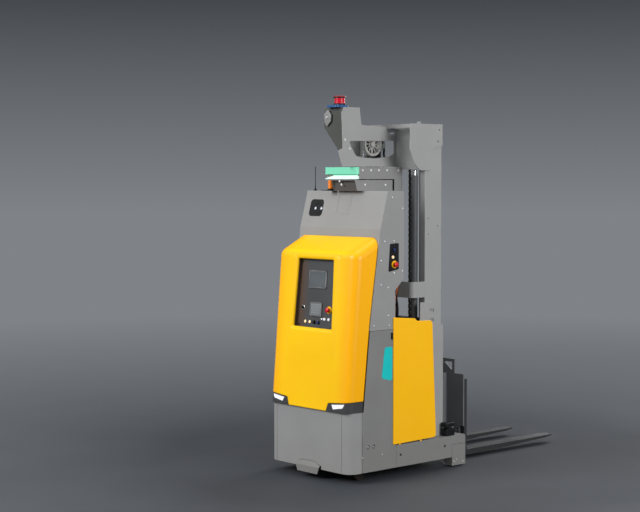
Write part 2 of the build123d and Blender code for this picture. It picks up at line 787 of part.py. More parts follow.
def arm_scanners():
    """Black safety scanners standing on the arms, with the slot of their scan window."""
    x = half_width - arm_width / 2 + fit
    front, back = arm_scanner_y
    centre_y = (front + back) / 2
    deep = (back - front) / 2
    foot = rect(x - arm_scanner_half, front, x + arm_scanner_half, back)
    body = slab_z(foot, arm_top, arm_top + arm_scanner_high)
    body = fillet(body.edges().filter_by(Axis.Z), 26)
    body = fillet(body.faces().sort_by(Axis.Z)[-1].edges(), 12)
    slot_low, slot_high = arm_top + 58, arm_top + 78
    slot = bar_z(x, centre_y, deep + 20, slot_low, slot_high)
    slot -= bar_z(x, centre_y, arm_scanner_half - 8, slot_low, slot_high)
    return pair(body - slot)


# Drive unit and castors

def drive_unit():
    """Steered drive: motor above the deck, turntable under it and a gear leg beside the wheel."""
    z = drive_wheel_radius
    side = drive_wheel_width / 2 + 6
    table = bar_z(0, drive_y, turntable_radius, seat_z - 20 - fit, seat_z - fit)
    motor = bar_z(0, drive_y, motor_radius, seat_z - fit, seat_z + deck_thick + motor_high)
    motor = fillet(motor.edges().sort_by(Axis.Z)[-1], 18)
    collar = bar_z(0, drive_y, motor_radius + 20, seat_z + deck_thick + fit, seat_z + deck_thick + 16)
    motor += collar
    for k in range(1, 8):
        ring_z = seat_z + deck_thick + 40 + k * 30
        ring = bar_z(0, drive_y, motor_radius, ring_z, ring_z + 14)
        motor -= ring - bar_z(0, drive_y, motor_radius - 7, ring_z, ring_z + 14)
    leg = [(drive_y - 46, seat_z - 10), (drive_y + 46, seat_z - 10), (drive_y + 46, z), (drive_y - 46, z)]
    gear_leg = slab_x(leg, side, side + 30) + bar_x(drive_y, z, 46, side, side + 30)
    axle = bar_x(drive_y, z, drive_axle_radius, -side, side)
    outer = slab_x(leg, -side - 14, -side) + bar_x(drive_y, z, 46, -side - 14, -side)
    return table + motor + gear_leg + outer + axle


def drive_wheel():
    half = drive_wheel_width / 2
    z = drive_wheel_radius
    tyre = bar_x(drive_y, z, z, -half, half)
    tyre = fillet(tyre.edges().filter_by(GeomType.CIRCLE), 8)
    for low in (-half, half - 16):
        tyre -= bar_x(drive_y, z, z - 30, low, low + 16)
    tyre += bar_x(drive_y, z, drive_axle_radius + 18, -half, half)
    return tyre - bar_x(drive_y, z, drive_axle_radius + axle_play, -half, half)


def castor_fork(sign):
    """Swivel head, kingpin and centre leg that carries the twin wheels' axle."""
    x, y = castor_x, castor_y
    axle_y = y - castor_trail
    z = castor_wheel_radius
    head = bar_z(x, y, castor_head_radius, deck_z - 16 - fit, deck_z - fit)
    pin = bar_z(x, y, kingpin_radius, deck_z - fit, deck_z + deck_thick)
    nut = bar_z(x, y, kingpin_radius + 12, deck_z + deck_thick + fit, deck_z + deck_thick + 14)
    pin = pin + bar_z(x, y, kingpin_radius, deck_z + deck_thick, deck_z + deck_thick + 1) + nut
    half = castor_gap / 2 - 1
    side = [(y - 35, deck_z - 17), (y + 35, deck_z - 17), (axle_y + 22, z), (axle_y - 22, z)]
    leg = slab_x(side, x - half, x + half)
    leg += bar_x(axle_y, z, 22, x - half, x + half)
    axle_half = castor_gap / 2 + castor_wheel_width
    axle = bar_x(axle_y, z, castor_axle_radius, x - axle_half, x + axle_half)
    shape = head + pin + leg + axle
    return shape if sign > 0 else mirror(shape, about=Plane.YZ)


def castor_wheels(sign):
    """Twin wheels of one castor, each on its side of the centre leg."""
    axle_y = castor_y - castor_trail
    z = castor_wheel_radius
    wheels = []
    for low in (castor_x - castor_gap / 2 - castor_wheel_width, castor_x + castor_gap / 2):
        wheel = bar_x(axle_y, z, z, low, low + castor_wheel_width)
        wheel = fillet(wheel.edges().filter_by(GeomType.CIRCLE), 6)
        outside = low if low < castor_x - castor_gap else low + castor_wheel_width - 8
        wheel -= bar_x(axle_y, z, z - 16, outside, outside + 8)
        wheel += bar_x(axle_y, z, castor_axle_radius + 8, low, low + castor_wheel_width)
        bore = castor_axle_radius + axle_play
        wheels.append(wheel - bar_x(axle_y, z, bore, low, low + castor_wheel_width))
    shape = wheels[0] + wheels[1]
    return shape if sign > 0 else mirror(shape, about=Plane.YZ)


def power_pack():
    """Hydraulic tank, pump motor and electronics box on the deck behind the drive motor."""
    floor = deck_z + deck_thick
    tank = slab_z(rect(castor_x - 150, 325, castor_x + 110, 465), floor, floor + 320)
    tank = fillet(tank.edges().filter_by(Axis.Z), 20)
    tank += bar_z(castor_x - 80, 400, 30, floor + 320, floor + 345)
    pump = bar_z(-300, 392, 68, floor, floor + 250)
    pump += slab_z(rect(-340, 352, -260, 432), floor + 250, floor + 300)
    box = slab_z(rect(-250, 420, 250, bulkhead_y - fit), 700, 1150)
    for k in range(11):
        x = -220 + 44 * k
        box += slab_z(rect(x - 3, 395, x + 3, 421), 720, 1130)
    return tank + pump + box


# Outer mast

def upright_outline(outer, reach, front, back, wall, lip):
    """Channel section, open towards the middle of the truck."""
    return [(outer, front), (outer, back), (outer - reach, back), (outer - reach, back - lip),
            (outer - wall, back - lip), (outer - wall, front + lip), (outer - reach, front + lip),
            (outer - reach, front)]


mast_holes = [(1109, mast_top - 46), (1096, mast_top - 143), (985, mast_top - 788), (1100, mast_top - 855),
              (990, mast_top - 922)]


def outer_uprights():
    shape = upright_outline(mast_x - fit, flange_reach, mast_front, mast_back, web, flange)
    corners = [(shape[0], 6), (shape[1], 6), (shape[4], 8), (shape[5], 8)]
    upright = slab_z(shape, mast_foot, mast_top, corners)
    for y, z in mast_holes:
        upright -= bar_x(y, z, 5, mast_x - web - fit, mast_x)
    return pair(upright)


def outer_crossmembers():
    """Beams across the front of the outer mast and its foot beam."""
    inside = mast_x - flange_reach - fit
    foot_top = barrel_low - fit
    beams = slab_z(rect(-inside, mast_front, inside, mast_back), mast_foot, foot_top)
    for low, high in (lower_beam, upper_beam):
        beams += slab_y(rect(-inside, low, inside, high), mast_front, mast_front + flange - 2)
        for edge in (low, high - 10):
            beams += slab_z(rect(-inside, mast_front - 40, inside, mast_front), edge, edge + 10)
    for x in (-pulley_x, pulley_x):
        half = chain_width / 2 + chain_room
        front, back = chain_front_y - chain_room, chain_front_y + chain_thick + chain_room
        beams -= slab_z(rect(x - half, front, x + half, back), *upper_beam)
    for x in (-cylinder_x, cylinder_x):
        beams -= bar_z(x, cylinder_y, barrel_radius + fit, lower_beam[0], upper_beam[1])
        beams += slab_z(rect(x - 34, cylinder_y - 34, x + 34, mast_front), mast_foot, foot_top)
    return beams


chain_inner = pulley_radius - groove + fit
chain_front_y = pulley_y - chain_inner - chain_thick
chain_back_y = pulley_y + chain_inner
chain_room = 4.0
top_plate_front = 766.0
top_plate_low = mast_top - 388.0
tie_front = 778.0
tie_deep = 40.0
tie_low = mast_top - 36.0


def mast_head():
    """Side gussets at the mast top with their curved lower corner, joined by the top tie and a lower tie."""
    shape = [(top_plate_front, mast_top), (mast_back, mast_top), (mast_back, mast_top - 178),
             (mast_back - 129, mast_top - 208), (mast_back - 139, top_plate_low),
             (mast_back - 269, top_plate_low), (mast_back - 334, top_plate_low + 52),
             (top_plate_front - 5, mast_top - 218)]
    gusset = slab_x(shape, mast_x, mast_x + plate, [(shape[5], 60), (shape[6], 60), (shape[7], 40)])
    for y, z in mast_holes[:2]:
        gusset -= bar_x(y, z, 7, mast_x, mast_x + plate)
    tie = slab_y(rect(-mast_x, tie_low, mast_x, mast_top - 4), tie_front, tie_front + tie_deep)
    tie -= slab_y(rect(-mast_x, tie_low, mast_x, mast_top - 4 - plate),
                  tie_front + plate, tie_front + tie_deep - plate)
    low_tie = slab_y(rect(-mast_x, top_plate_low + 8, mast_x, console_low - fit),
                     sensor_back + fit, sensor_back + 12)
    eye = slab_x([(850, mast_top), (890, mast_top), (890, mast_top + 16), (850, mast_top + 16)],
                 mast_x, mast_x + plate, [((850, mast_top + 16), 12), ((890, mast_top + 16), 12)])
    return pair(gusset + eye) + tie + low_tie


def mast_feet():
    """Side plates that join the mast foot to the arms, bolted high on the upright."""
    low = arm_top + fit
    shape = [(865, low), (1165, low), (1165, 1217), (1040, 1217), (1040, 1415), (888, 1415)]
    foot = slab_x(shape, mast_x, mast_x + plate, [(shape[4], 8), (shape[5], 8)])
    face = mast_x + plate
    for y, z in ((1020, 1353), (1020, 1272)):
        foot += bar_x(y, z, 13, face, face + 6) - bar_x(y, z, 8, face + 2, face + 6)
    return pair(foot)


def guard_band():
    """Bent guard in front of the right cylinder: a face across and a leg back to the upright."""
    face_y, low, high = 800.0, roof_z - 894, roof_z - 761
    bend = 42.0
    inner_x = 184.0
    inside, back = mast_x - skin, mast_front - fit
    path = [(inner_x, face_y), (mast_x, face_y), (mast_x, back), (inside, back), (inside, face_y + skin),
            (inner_x, face_y + skin)]
    band = slab_z(path, low, high, [(path[1], bend), (path[4], bend - skin)])
    nick = slab_y([(inner_x, high), (inner_x + 45, high), (inner_x, high - 60)], face_y, face_y + skin)
    return band - nick


def mast_brackets():
    return mast_feet() + guard_band()


def bend_radius(before, at, after):
    """Largest arc at a corner that its two runs leave room for."""
    a, b = Vector(*before) - Vector(*at), Vector(*after) - Vector(*at)
    turn = math.pi - math.radians(a.get_angle(b))
    return 0.45 * min(a.length, b.length) / math.tan(turn / 2)


def wiring_harness():
    """Battery lead from the cabinet down to the battery, in straight runs and tangent arcs."""
    last = harness_points[-1]
    points = harness_points + [(last[0], last[1], battery_high - 2 + fit)]
    radii = [bend_radius(*points[i - 1:i + 2]) for i in range(1, len(points) - 1)]
    print("harness bend radii", [round(r) for r in radii])
    route = FilletPolyline(*points, radius=radii)
    tube = sweep(Plane(origin=route @ 0, z_dir=route % 0) * Circle(harness_radius), path=route)
    section = math.pi * harness_radius ** 2
    print("harness volume over section times length", round(tube.volume / (section * route.length), 4))
    return tube


def lift_cylinders():
    """Hollow barrels with a closed foot and a bored gland."""
    x, y = cylinder_x, cylinder_y
    barrel = bar_z(x, y, barrel_radius, barrel_low, barrel_high)
    barrel -= bar_z(x, y, barrel_bore, barrel_low + 30, barrel_high - 60)
    barrel -= bar_z(x, y, rod_radius + rod_play, barrel_high - 60, barrel_high)
    return pair(barrel)


# Inner mast

inner_x = mast_x - fit - web - mast_play
inner_front = mast_front + flange + mast_play
inner_back = mast_back - flange - mast_play


def inner_uprights():
    shape = upright_outline(inner_x, inner_reach, inner_front, inner_back, inner_web, inner_flange)
    corners = [(shape[0], 9), (shape[1], 9), (shape[4], 6), (shape[5], 6)]
    return pair(slab_z(shape, inner_foot, head_low - fit, corners))


def inner_crossmembers():
    """Head beam with rod lugs and pulley cheeks, and two beams between the inner uprights."""
    inside = inner_x - inner_reach - fit
    head = slab_z(rect(-inner_x, inner_front, inner_x, inner_back), head_low, inner_top)
    head = fillet(head.edges().filter_by(Axis.Z), 9)
    for sign in (-1, 1):
        x = sign * cylinder_x
        head += slab_z(rect(x - 26, cylinder_y - 22, x + 26, inner_front + 1), head_low, inner_top)
        for edge in (-pulley_width / 2 - 3 - 8, pulley_width / 2 + 3):
            low = sign * pulley_x + edge
            cheek = [(pulley_y - 40, head_low + 1), (pulley_y + 40, head_low + 1),
                     (pulley_y + 16, pulley_z), (pulley_y - 16, pulley_z)]
            head += slab_x(cheek, low, low + 8) + bar_x(pulley_y, pulley_z, 20, low, low + 8)
        half = pulley_width / 2 + 11
        head += bar_x(pulley_y, pulley_z, axle_radius, sign * pulley_x - half, sign * pulley_x + half)
    beams = head
    for low in inner_beams:
        beams += slab_y(rect(-inside, low, inside, low + 90), inner_front, inner_front + 12)
    return beams


def lift_rods():
    """Cylinder rods with their pistons, standing under the head beam."""
    x, y = cylinder_x, cylinder_y
    rod = bar_z(x, y, rod_radius, rod_low, head_low - fit)
    return pair(rod + bar_z(x, y, barrel_bore - rod_play, rod_low, rod_low + 40))


def pulley_wheel(x):
    """Grooved wheel with six round lightening holes."""
    half = pulley_width / 2
    wheel = bar_x(pulley_y, pulley_z, pulley_radius, x - half, x + half)
    channel = bar_x(pulley_y, pulley_z, pulley_radius, x - half + 4, x + half - 4)
    wheel -= channel - bar_x(pulley_y, pulley_z, pulley_radius - groove, x - half + 4, x + half - 4)
    for k in range(6):
        angle = math.radians(60 * k)
        y, z = pulley_y + 42 * math.cos(angle), pulley_z + 42 * math.sin(angle)
        wheel -= bar_x(y, z, 14, x - half, x + half)
    return wheel - bar_x(pulley_y, pulley_z, axle_radius + axle_play, x - half, x + half)


def chain_pulleys():
    return pulley_wheel(pulley_x) + pulley_wheel(-pulley_x)


def chain_run(front_y, low, high):
    """A straight run of both lift chains."""
    half = chain_width / 2
    return pair(slab_z(rect(pulley_x - half, front_y, pulley_x + half, front_y + chain_thick), low, high))


def chain_anchor_runs():
    """Chain runs from their anchors on the lower beam of the outer mast up to the pulleys."""
    return chain_run(chain_front_y, lower_beam[1] + fit, pulley_z)


def chain_wraps():
    """Half turn of each chain over its pulley."""
    low_x, high_x = pulley_x - chain_width / 2, pulley_x + chain_width / 2
    wrap = bar_x(pulley_y, pulley_z, chain_inner + chain_thick, low_x, high_x)
    wrap -= bar_x(pulley_y, pulley_z, chain_inner, low_x, high_x)
    above = rect(pulley_y - 200, pulley_z + fit, pulley_y + 200, pulley_z + 200)
    return pair(wrap & slab_x(above, low_x, high_x))


def chain_load_runs():
    """Chain runs from the pulleys down to the carriage."""
    return chain_run(chain_back_y, carriage_high - 40 + fit, pulley_z)


# Carriage and forks

roller_radius = (inner_back - inner_front) / 2 - inner_flange - roller_play
roller_y = (inner_front + inner_back) / 2
roller_x = inner_x - inner_web - roller_play - roller_width / 2


def eased(corners, radius):
    return [(corner, radius) for corner in corners]


def carriage_frame():
    """Roller plates in the mast, a back plate across and the box that reaches back to the fork plate."""
    reach = inner_x - inner_reach - 2
    front = roller_y - 45
    outline_side = rect(front, carriage_low, inner_back + plate, carriage_high)
    side = slab_x(outline_side, reach - 12, reach, eased([outline_side[0], outline_side[3]], 30))
    for z in (carriage_low + 80, carriage_high - 80):
        roller = bar_x(roller_y, z, roller_radius, roller_x - roller_width / 2, roller_x + roller_width / 2)
        side += fillet(roller.edges().filter_by(GeomType.CIRCLE), 7)
        side += bar_x(roller_y, z, 24, reach - 1, roller_x - roller_width / 2)
    back = slab_y(rect(-reach, carriage_low, reach, carriage_high), inner_back + 4, inner_back + 16)
    hole = rect(-70, carriage_low + 130, 70, carriage_high - 130)
    back -= slab_y(hole, inner_back + 4, inner_back + 16, eased(hole, 20))
    wall = rect(inner_back + 16, carriage_low, plate_front - fit, carriage_high)
    webs = slab_x(wall, spine_half - 12, spine_half)
    gap = rect(inner_back + 90, carriage_low + 90, plate_front - 90, carriage_high - 90)
    webs -= slab_x(gap, spine_half - 12, spine_half, eased(gap, 40))
    over = rect(-spine_half, inner_back + 16, spine_half, plate_front - fit)
    deck = slab_z(over, carriage_high - 12, carriage_high)
    sole = slab_z(over, carriage_low, carriage_low + 12)
    anchor = slab_z(rect(pulley_x - 24, chain_back_y - 6, pulley_x + 24, inner_back + 5),
                    carriage_high - 60, carriage_high - 40)
    return pair(side) + back + pair(webs) + deck + sole + pair(anchor)


def fork_plate():
    """Dark plate that carries the forks, with the pierced bracket above it and its side folds."""
    back = plate_front + plate_thick
    sheet = slab_y(rect(-plate_half, plate_low, plate_half, plate_high), plate_front, back)
    shape = [(-bracket_half, plate_high - 1), (bracket_half, plate_high - 1), (bracket_half, bracket_high),
             (-bracket_half, bracket_high)]
    bracket = slab_y(shape, plate_front, back)
    for sign in (-1, 1):
        hole = [(sign * 165, 842), (sign * 60, 842), (sign * 165, 768)]
        bracket -= slab_y(hole, plate_front, back, list(zip(hole, (8, 6, 6))))
    over = rect(-bracket_half, plate_front, bracket_half, plate_front + 40)
    cap = slab_z(over, bracket_high - 8, bracket_high)
    rail = slab_y(rect(-plate_half, 620, plate_half, 640), back, fork_face - fork_thick - fit)
    holder = sheet + bracket + cap + rail
    for x in (-229, 229):
        strip = slab_y(rect(x - 29, 100, x + 29, plate_low + 1), plate_front, plate_front + 6)
        for k in range(4):
            strip -= slab_y(rect(x - 10, 125 + 42 * k, x + 10, 145 + 42 * k), plate_front, plate_front + 6)
        holder += strip
    return holder


def fork(sign):
    """Forged L fork: shank with a hook, bent heel and a blade that tapers to a blunt tip."""
    back = fork_face - fork_thick
    low_x, high_x = fork_x - fork_width / 2, fork_x + fork_width / 2
    side = [(back, fork_heel_low), (fork_face + 260, fork_heel_low - 2),
            (fork_tip, fork_top - fork_tip_thick), (fork_tip, fork_top), (fork_face, fork_top),
            (fork_face, shank_high), (back, shank_high)]
    body = slab_x(side, low_x, high_x, [(side[0], 38), (side[4], 12), (side[3], 5)])
    tip = [(fork_x - 32, fork_tip), (fork_x + 32, fork_tip), (high_x, fork_tip - 110),
           (high_x, back), (low_x, back), (low_x, fork_tip - 110)]
    plan = slab_z(tip, 0, shank_high, [(tip[0], 20), (tip[1], 20), (tip[2], 120), (tip[5], 120)])
    body &= plan
    return body if sign > 0 else mirror(body, about=Plane.YZ)


# Roof units and navigation head

def box_shell(side, low_x, high_x, wall):
    """Hollow sheet box from a side outline."""
    inner = offset(make_face(Polyline(*side, close=True)), -wall, kind=Kind.INTERSECTION)
    hollow = extrude(Plane.YZ.offset(low_x + wall) * inner, high_x - low_x - 2 * wall)
    return slab_x(side, low_x, high_x) - hollow


def sensor_box():
    """Upper sensor housing with its rear leg, and the lower box under it with the slanted front."""
    front = sensor_front + band_depth
    side = [(front, sensor_low), (leg_front, sensor_low), (leg_front, roof_z + fit),
            (sensor_back, roof_z + fit), (sensor_back, sensor_high), (front, sensor_high)]
    upper = box_shell(side, -sensor_half, sensor_half, sheet)
    lower = box_shell([(lower_front + 28, roof_z), (lower_back, roof_z), (lower_back, lower_high),
                       (lower_front + 28, lower_high)], lower_left, sensor_half - 4, sheet)
    frame = slab_x([(lower_front + 28, roof_z), (lower_front + 29, roof_z), (lower_front + 29, lower_high),
                    (lower_front, lower_high), (lower_front, lower_high - 8)], lower_left, sensor_half - 4)
    mouth = rect(lower_front - 1, roof_z, lower_front + 28, lower_high - 8)
    frame -= slab_x(mouth, lower_left + 8, sensor_half - 12)
    pads = slab_z(rect(-60, 600, 60, 700), lower_high, sensor_low)
    return upper + (lower + frame) + pads


def light_band():
    """Signal band across the front of the sensor housing, with the lower lip apart from it."""
    front = sensor_front
    band = slab_z(rect(-sensor_half, front, sensor_half, front + band_depth - fit), band_low, sensor_high)
    band = fillet(band.edges().filter_by(Axis.Z).sort_by(Axis.Y)[:2], 8)
    back = front + band_depth - fit
    lip = slab_x([(front + 4, lip_high), (back, lip_high), (back, sensor_low), (front, sensor_low)],
                 -sensor_half + 4, sensor_half - 2)
    lip -= slab_y([(-sensor_half, sensor_low + 5), (lip_slant - sensor_half, lip_high + 1),
                   (-sensor_half, lip_high + 1)], front - 1, back)
    between = rect(lip_slant - sensor_half, back - 10, sensor_half - 14, back)
    mid = slab_z(between, lip_high - 1, band_low + 1)
    return band + lip + mid


def roof_fittings():
    """Antenna, cable strip and the beacon with its shelf, all standing on the roof."""
    antenna = bar_z(antenna_x, antenna_y, 14, roof_z, roof_z + 10)
    antenna += bar_z(antenna_x, antenna_y, 3, roof_z + 9, roof_z + 205)
    strip = slab_z(rect(-330, cabinet_brow_y + 8, -230, cabinet_brow_y + 22), roof_z, roof_z + 6)
    shelf = slab_z(rect(beacon_x - 34, beacon_y - 34, beacon_x + 34, cabinet_brow_y + 30),
                   roof_z, roof_z + 5)
    socket = bar_z(beacon_x, beacon_y, 27, roof_z + 4, roof_z + 18)
    lens = bar_z(beacon_x, beacon_y, 24, roof_z + 17, roof_z + 88)
    lens = fillet(lens.edges().sort_by(Axis.Z)[-1], 12)
    return antenna + strip + (shelf + socket + lens)


arm_high = console_low + 333.0    # top of the console plate at the mast
tower_bend = tower_top - 47.0     # where the tower's front starts to lean back


def console_arm():
    """Console plate with its window, slot and rear fold, hung from the mast head."""
    inner = console_x - console_thick
    low = console_low
    shape = [(270, low), (console_back, low), (console_back, arm_high), (484, arm_high + 9),
             (tower_back, tower_top), (294, tower_top), (tower_front, tower_bend), (278, low + 149),
             (222, low + 127)]
    side = slab_x(shape, inner, console_x, [(shape[3], 20)])
    window = [(343, low + 209), (860, low + 221), (860, low + 109), (790, low + 81), (640, low + 70),
              (500, low + 73), (422, low + 87), (385, low + 139)]
    rounds = [(window[0], 14), (window[1], 14), (window[2], 16), (window[3], 160), (window[5], 140),
              (window[6], 40), (window[7], 60)]
    side -= slab_x(window, inner, console_x, rounds)
    slot = rect(806, low + 273, 866, low + 311)
    side -= slab_x(slot, inner, console_x, [(slot[0], 16), (slot[3], 16)])
    notch = rect(tie_front - fit, tie_low - fit, tie_front + tie_deep + fit, mast_top)
    side -= slab_x(notch, inner, console_x)
    fold = slab_y(rect(console_x - 1, low, mast_x - fit, arm_high), console_back - 8, console_back)
    under = tie_low - fit
    top = slab_z(rect(console_x - 1, tie_front, console_x + 40, console_back), under - 6, under)
    return side + fold + top


def scanner_tower():
    """Folded tower on the console: tapering dark front, left side, back and top plate."""
    inner = console_x - console_thick - fit
    start = tower_front + 14
    front = [(-console_x, tower_low), (43, console_low + 149), (52, console_low + 130),
             (inner, console_low + 130), (inner, tower_bend - 2), (-console_x, tower_bend - 15)]
    face = slab_y(front, start, start + console_thick)
    side = [(start, tower_low), (tower_back, tower_low), (tower_back, tower_top - 1), (294, tower_top - 1),
            (start, tower_bend)]
    left = slab_x(side, -console_x, -console_x + console_thick)
    top = slab_z(rect(-console_x, 294, inner, tower_back), tower_top - 7, tower_top)
    lean = [(start, tower_bend - 22), (start + 6, tower_bend - 22), (start + 6, tower_bend - 2),
            (298, tower_top - 6), (294, tower_top - 1), (start, tower_bend)]
    return face + left + top + slab_x(lean, -console_x, inner)


def scanner_base():
    base = slab_z(rect(-66, 250, 66, 390), tower_top, tower_top + 20)
    base = fillet(base.edges().filter_by(Axis.Z), 24)
    return base + bar_z(0, head_y, 50, tower_top + 20, tower_top + 34)


def scanner_head():
    """Turning scanner head: collar, window drum and cap."""
    z = tower_top + 34 + fit
    drum = bar_z(0, head_y, head_radius, z, z + 46)
    cap = bar_z(0, head_y, head_cap_radius, z + 46, z + 60)
    cap = chamfer(cap.edges().sort_by(Axis.Z)[-1], 4)
    return drum + cap


pieces = {
    "chassis_frame": chassis_frame, "front_plate": front_plate, "corner_covers": corner_covers,
    "tow_flap": tow_flap, "side_walls": side_walls, "hood": hood, "light_housings": light_housings,
    "headlamp_lenses": headlamp_lenses, "control_panel": control_panel, "display": display,
    "stop_collars": stop_collars, "indicator_lamps": indicator_lamps, "cabinet": cabinet,
    "camera_window": camera_window,
    "side_control_plates": side_control_plates, "battery": battery, "battery_covers": battery_covers,
    "load_arms": load_arms, "wheel_housings": wheel_housings, "arm_scanners": arm_scanners,
    "power_pack": power_pack, "outer_uprights": outer_uprights, "outer_crossmembers": outer_crossmembers,
    "mast_head": mast_head, "mast_brackets": mast_brackets,
    "wiring_harness": wiring_harness, "lift_cylinders": lift_cylinders,
    "chain_anchor_runs": chain_anchor_runs, "sensor_box": sensor_box, "light_band": light_band,
    "roof_fittings": roof_fittings, "console_arm": console_arm,
    "scanner_tower": scanner_tower, "scanner_base": scanner_base,
    "drive_unit": drive_unit, "drive_wheel": drive_wheel,
    "castor_fork_right": lambda: castor_fork(1), "castor_fork_left": lambda: castor_fork(-1),
    "castor_wheels_right": lambda: castor_wheels(1), "castor_wheels_left": lambda: castor_wheels(-1),
    "load_wheel_right": lambda: load_wheel(1), "load_wheel_left": lambda: load_wheel(-1),
    "inner_uprights": inner_uprights, "inner_crossmembers": inner_crossmembers, "lift_rods": lift_rods,
    "chain_pulleys": chain_pulleys, "chain_wraps": chain_wraps, "chain_load_runs": chain_load_runs,
    "carriage_frame": carriage_frame, "fork_plate": fork_plate,
    "forks": lambda: fork(1) + fork(-1), "scanner_head": scanner_head,
    "key_switch": key_switch, "front_stop": front_stop,
    "side_stop_right": lambda: side_stop(1), "side_stop_left": lambda: side_stop(-1),
    "front_button_grey": lambda: panel_button(grey_button_x),
    "front_button_blue": lambda: panel_button(blue_button_x),
    "side_button_right": lambda: side_button(1), "side_button_left": lambda: side_button(-1),
}

os.makedirs("parts", exist_ok=True)
for name, make in pieces.items():
    save(name, make())
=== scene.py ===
# %% [markdown]
# # An automated forklift, dressed for a studio picture
# The solids come from the CAD model and stay where they are. This file gives each of them its
# finish, adds the small pieces that a CAD model leaves out, such as screws, lamps, glass and
# chain links, and sets up the floor, the lights and the camera.

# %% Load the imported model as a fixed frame
import math

import bmesh
import bpy
from mathutils import Matrix, Vector


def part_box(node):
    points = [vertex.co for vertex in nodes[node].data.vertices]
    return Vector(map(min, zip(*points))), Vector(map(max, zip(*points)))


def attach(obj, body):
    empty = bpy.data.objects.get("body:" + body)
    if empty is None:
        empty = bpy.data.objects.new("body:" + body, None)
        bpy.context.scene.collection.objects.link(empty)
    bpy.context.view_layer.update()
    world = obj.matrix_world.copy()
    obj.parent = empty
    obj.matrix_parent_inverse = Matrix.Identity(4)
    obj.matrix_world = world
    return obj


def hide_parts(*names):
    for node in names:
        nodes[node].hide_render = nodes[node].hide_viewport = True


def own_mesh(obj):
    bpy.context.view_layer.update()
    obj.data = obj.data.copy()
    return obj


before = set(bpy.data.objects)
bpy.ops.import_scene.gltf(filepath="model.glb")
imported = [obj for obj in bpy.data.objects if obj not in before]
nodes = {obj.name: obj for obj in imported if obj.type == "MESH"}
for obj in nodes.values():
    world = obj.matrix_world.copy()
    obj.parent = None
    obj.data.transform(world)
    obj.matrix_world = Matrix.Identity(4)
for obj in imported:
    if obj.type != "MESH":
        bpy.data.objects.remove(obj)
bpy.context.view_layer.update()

# %% [markdown]
# Sizes are easiest to think of from the truck's front plate, its centre plane and the floor, in
# millimetres, as a workshop drawing gives them. One function turns them into the scene's metres,
# whose origin lies under the middle of the truck. A second one reads a solid's box back in
# drawing sizes, so that small pieces can be set against the solid that carries them.

# %% Between drawing millimetres and scene metres
FOREMOST, FORK_TIPS = -18.0, 2787.0
MIDDLE = (FOREMOST + FORK_TIPS) / 2


def at(x, y, z):
    """A drawing point, in scene metres."""
    return Vector((x, y - MIDDLE, z)) / 1000


def mm(length):
    """A length in millimetres, in scene metres."""
    return length / 1000


def drawn_box(node):
    """Lowest and highest corner of a CAD node in drawing millimetres."""
    low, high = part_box(node)
    shift = Vector((0, MIDDLE, 0))
    return Vector(low) * 1000 + shift, Vector(high) * 1000 + shift


print("front plate lies at", at(0, 0, 0)[:])

# %% [markdown]
# The photograph was taken with a long lens from about 12 m away and 2.4 m up. A long lens keeps
# upright lines nearly upright, so the camera needs no shift. Its place and angles were solved from
# points of the truck that show in the photograph.

# %% Camera at the photograph's place
FOCAL_PIXELS = 1462.4
IMAGE_WIDTH = 640
CAMERA_PLACE = (8941, -7876, 2415)
DOWNWARD, BEARING = 2.859, 48.171
camera_data = bpy.data.cameras.new("studio_camera")
camera_data.sensor_width = 36.0
camera_data.lens = FOCAL_PIXELS / IMAGE_WIDTH * camera_data.sensor_width
camera_data.clip_end = 200
camera = bpy.data.objects.new("studio_camera", camera_data)
bpy.context.scene.collection.objects.link(camera)
camera.location = at(*CAMERA_PLACE)
camera.rotation_euler = (math.radians(90 - DOWNWARD), 0, math.radians(BEARING))
bpy.context.scene.camera = camera
print("lens", round(camera_data.lens, 1), "mm")

# %% [markdown]
# Colours are written as the sRGB hex values that a paint card gives. Shaders work in linear
# light, so one function does the change. A second function adds a shader node with its settings
# and its links in one line, which keeps each finish short enough to read.

# %% Colour and shader helpers


def colour(hex_code):
    """sRGB hex to linear RGBA."""
    parts = [int(hex_code[i:i + 2], 16) / 255 for i in (1, 3, 5)]
    linear = [p / 12.92 if p <= 0.04045 else ((p + 0.055) / 1.055) ** 2.4 for p in parts]
    return (*linear, 1.0)


def add(tree, kind, links=None, **settings):
    """Adds a shader node; settings name its properties or inputs, links name inputs and sources."""
    node = tree.nodes.new(kind)
    for key, value in settings.items():
        if hasattr(node, key):
            setattr(node, key, value)
        else:
            node.inputs[key.replace("_", " ")].default_value = value
    for key, source in (links or {}).items():
        tree.links.new(source, node.inputs[key])
    return node


def new_finish(name):
    """A material with an empty tree, its place on the object and its output node."""
    finish = bpy.data.materials.new(name)
    finish.use_nodes = True
    tree = finish.node_tree
    tree.nodes.clear()
    return finish, tree, add(tree, "ShaderNodeTexCoord"), add(tree, "ShaderNodeOutputMaterial")


print("one paint card value in linear light:", [round(v, 3) for v in colour("#7C7C7B")])

# %% [markdown]
# Nearly every finish needs the same three things. Soft noise of a real size breaks up a tone or a
# gloss, a mix blends two colours by such a noise, and a bump gives the surface its grain. The
# noise lies mostly between 0.3 and 0.7, so that span is stretched to the range that is asked for.

# %% Noise, colour mix and grain
NOISE_LOW, NOISE_HIGH = 0.3, 0.7
MIX_FIRST, MIX_SECOND, MIX_COLOUR = 6, 7, 2  # the Mix node's colour sockets


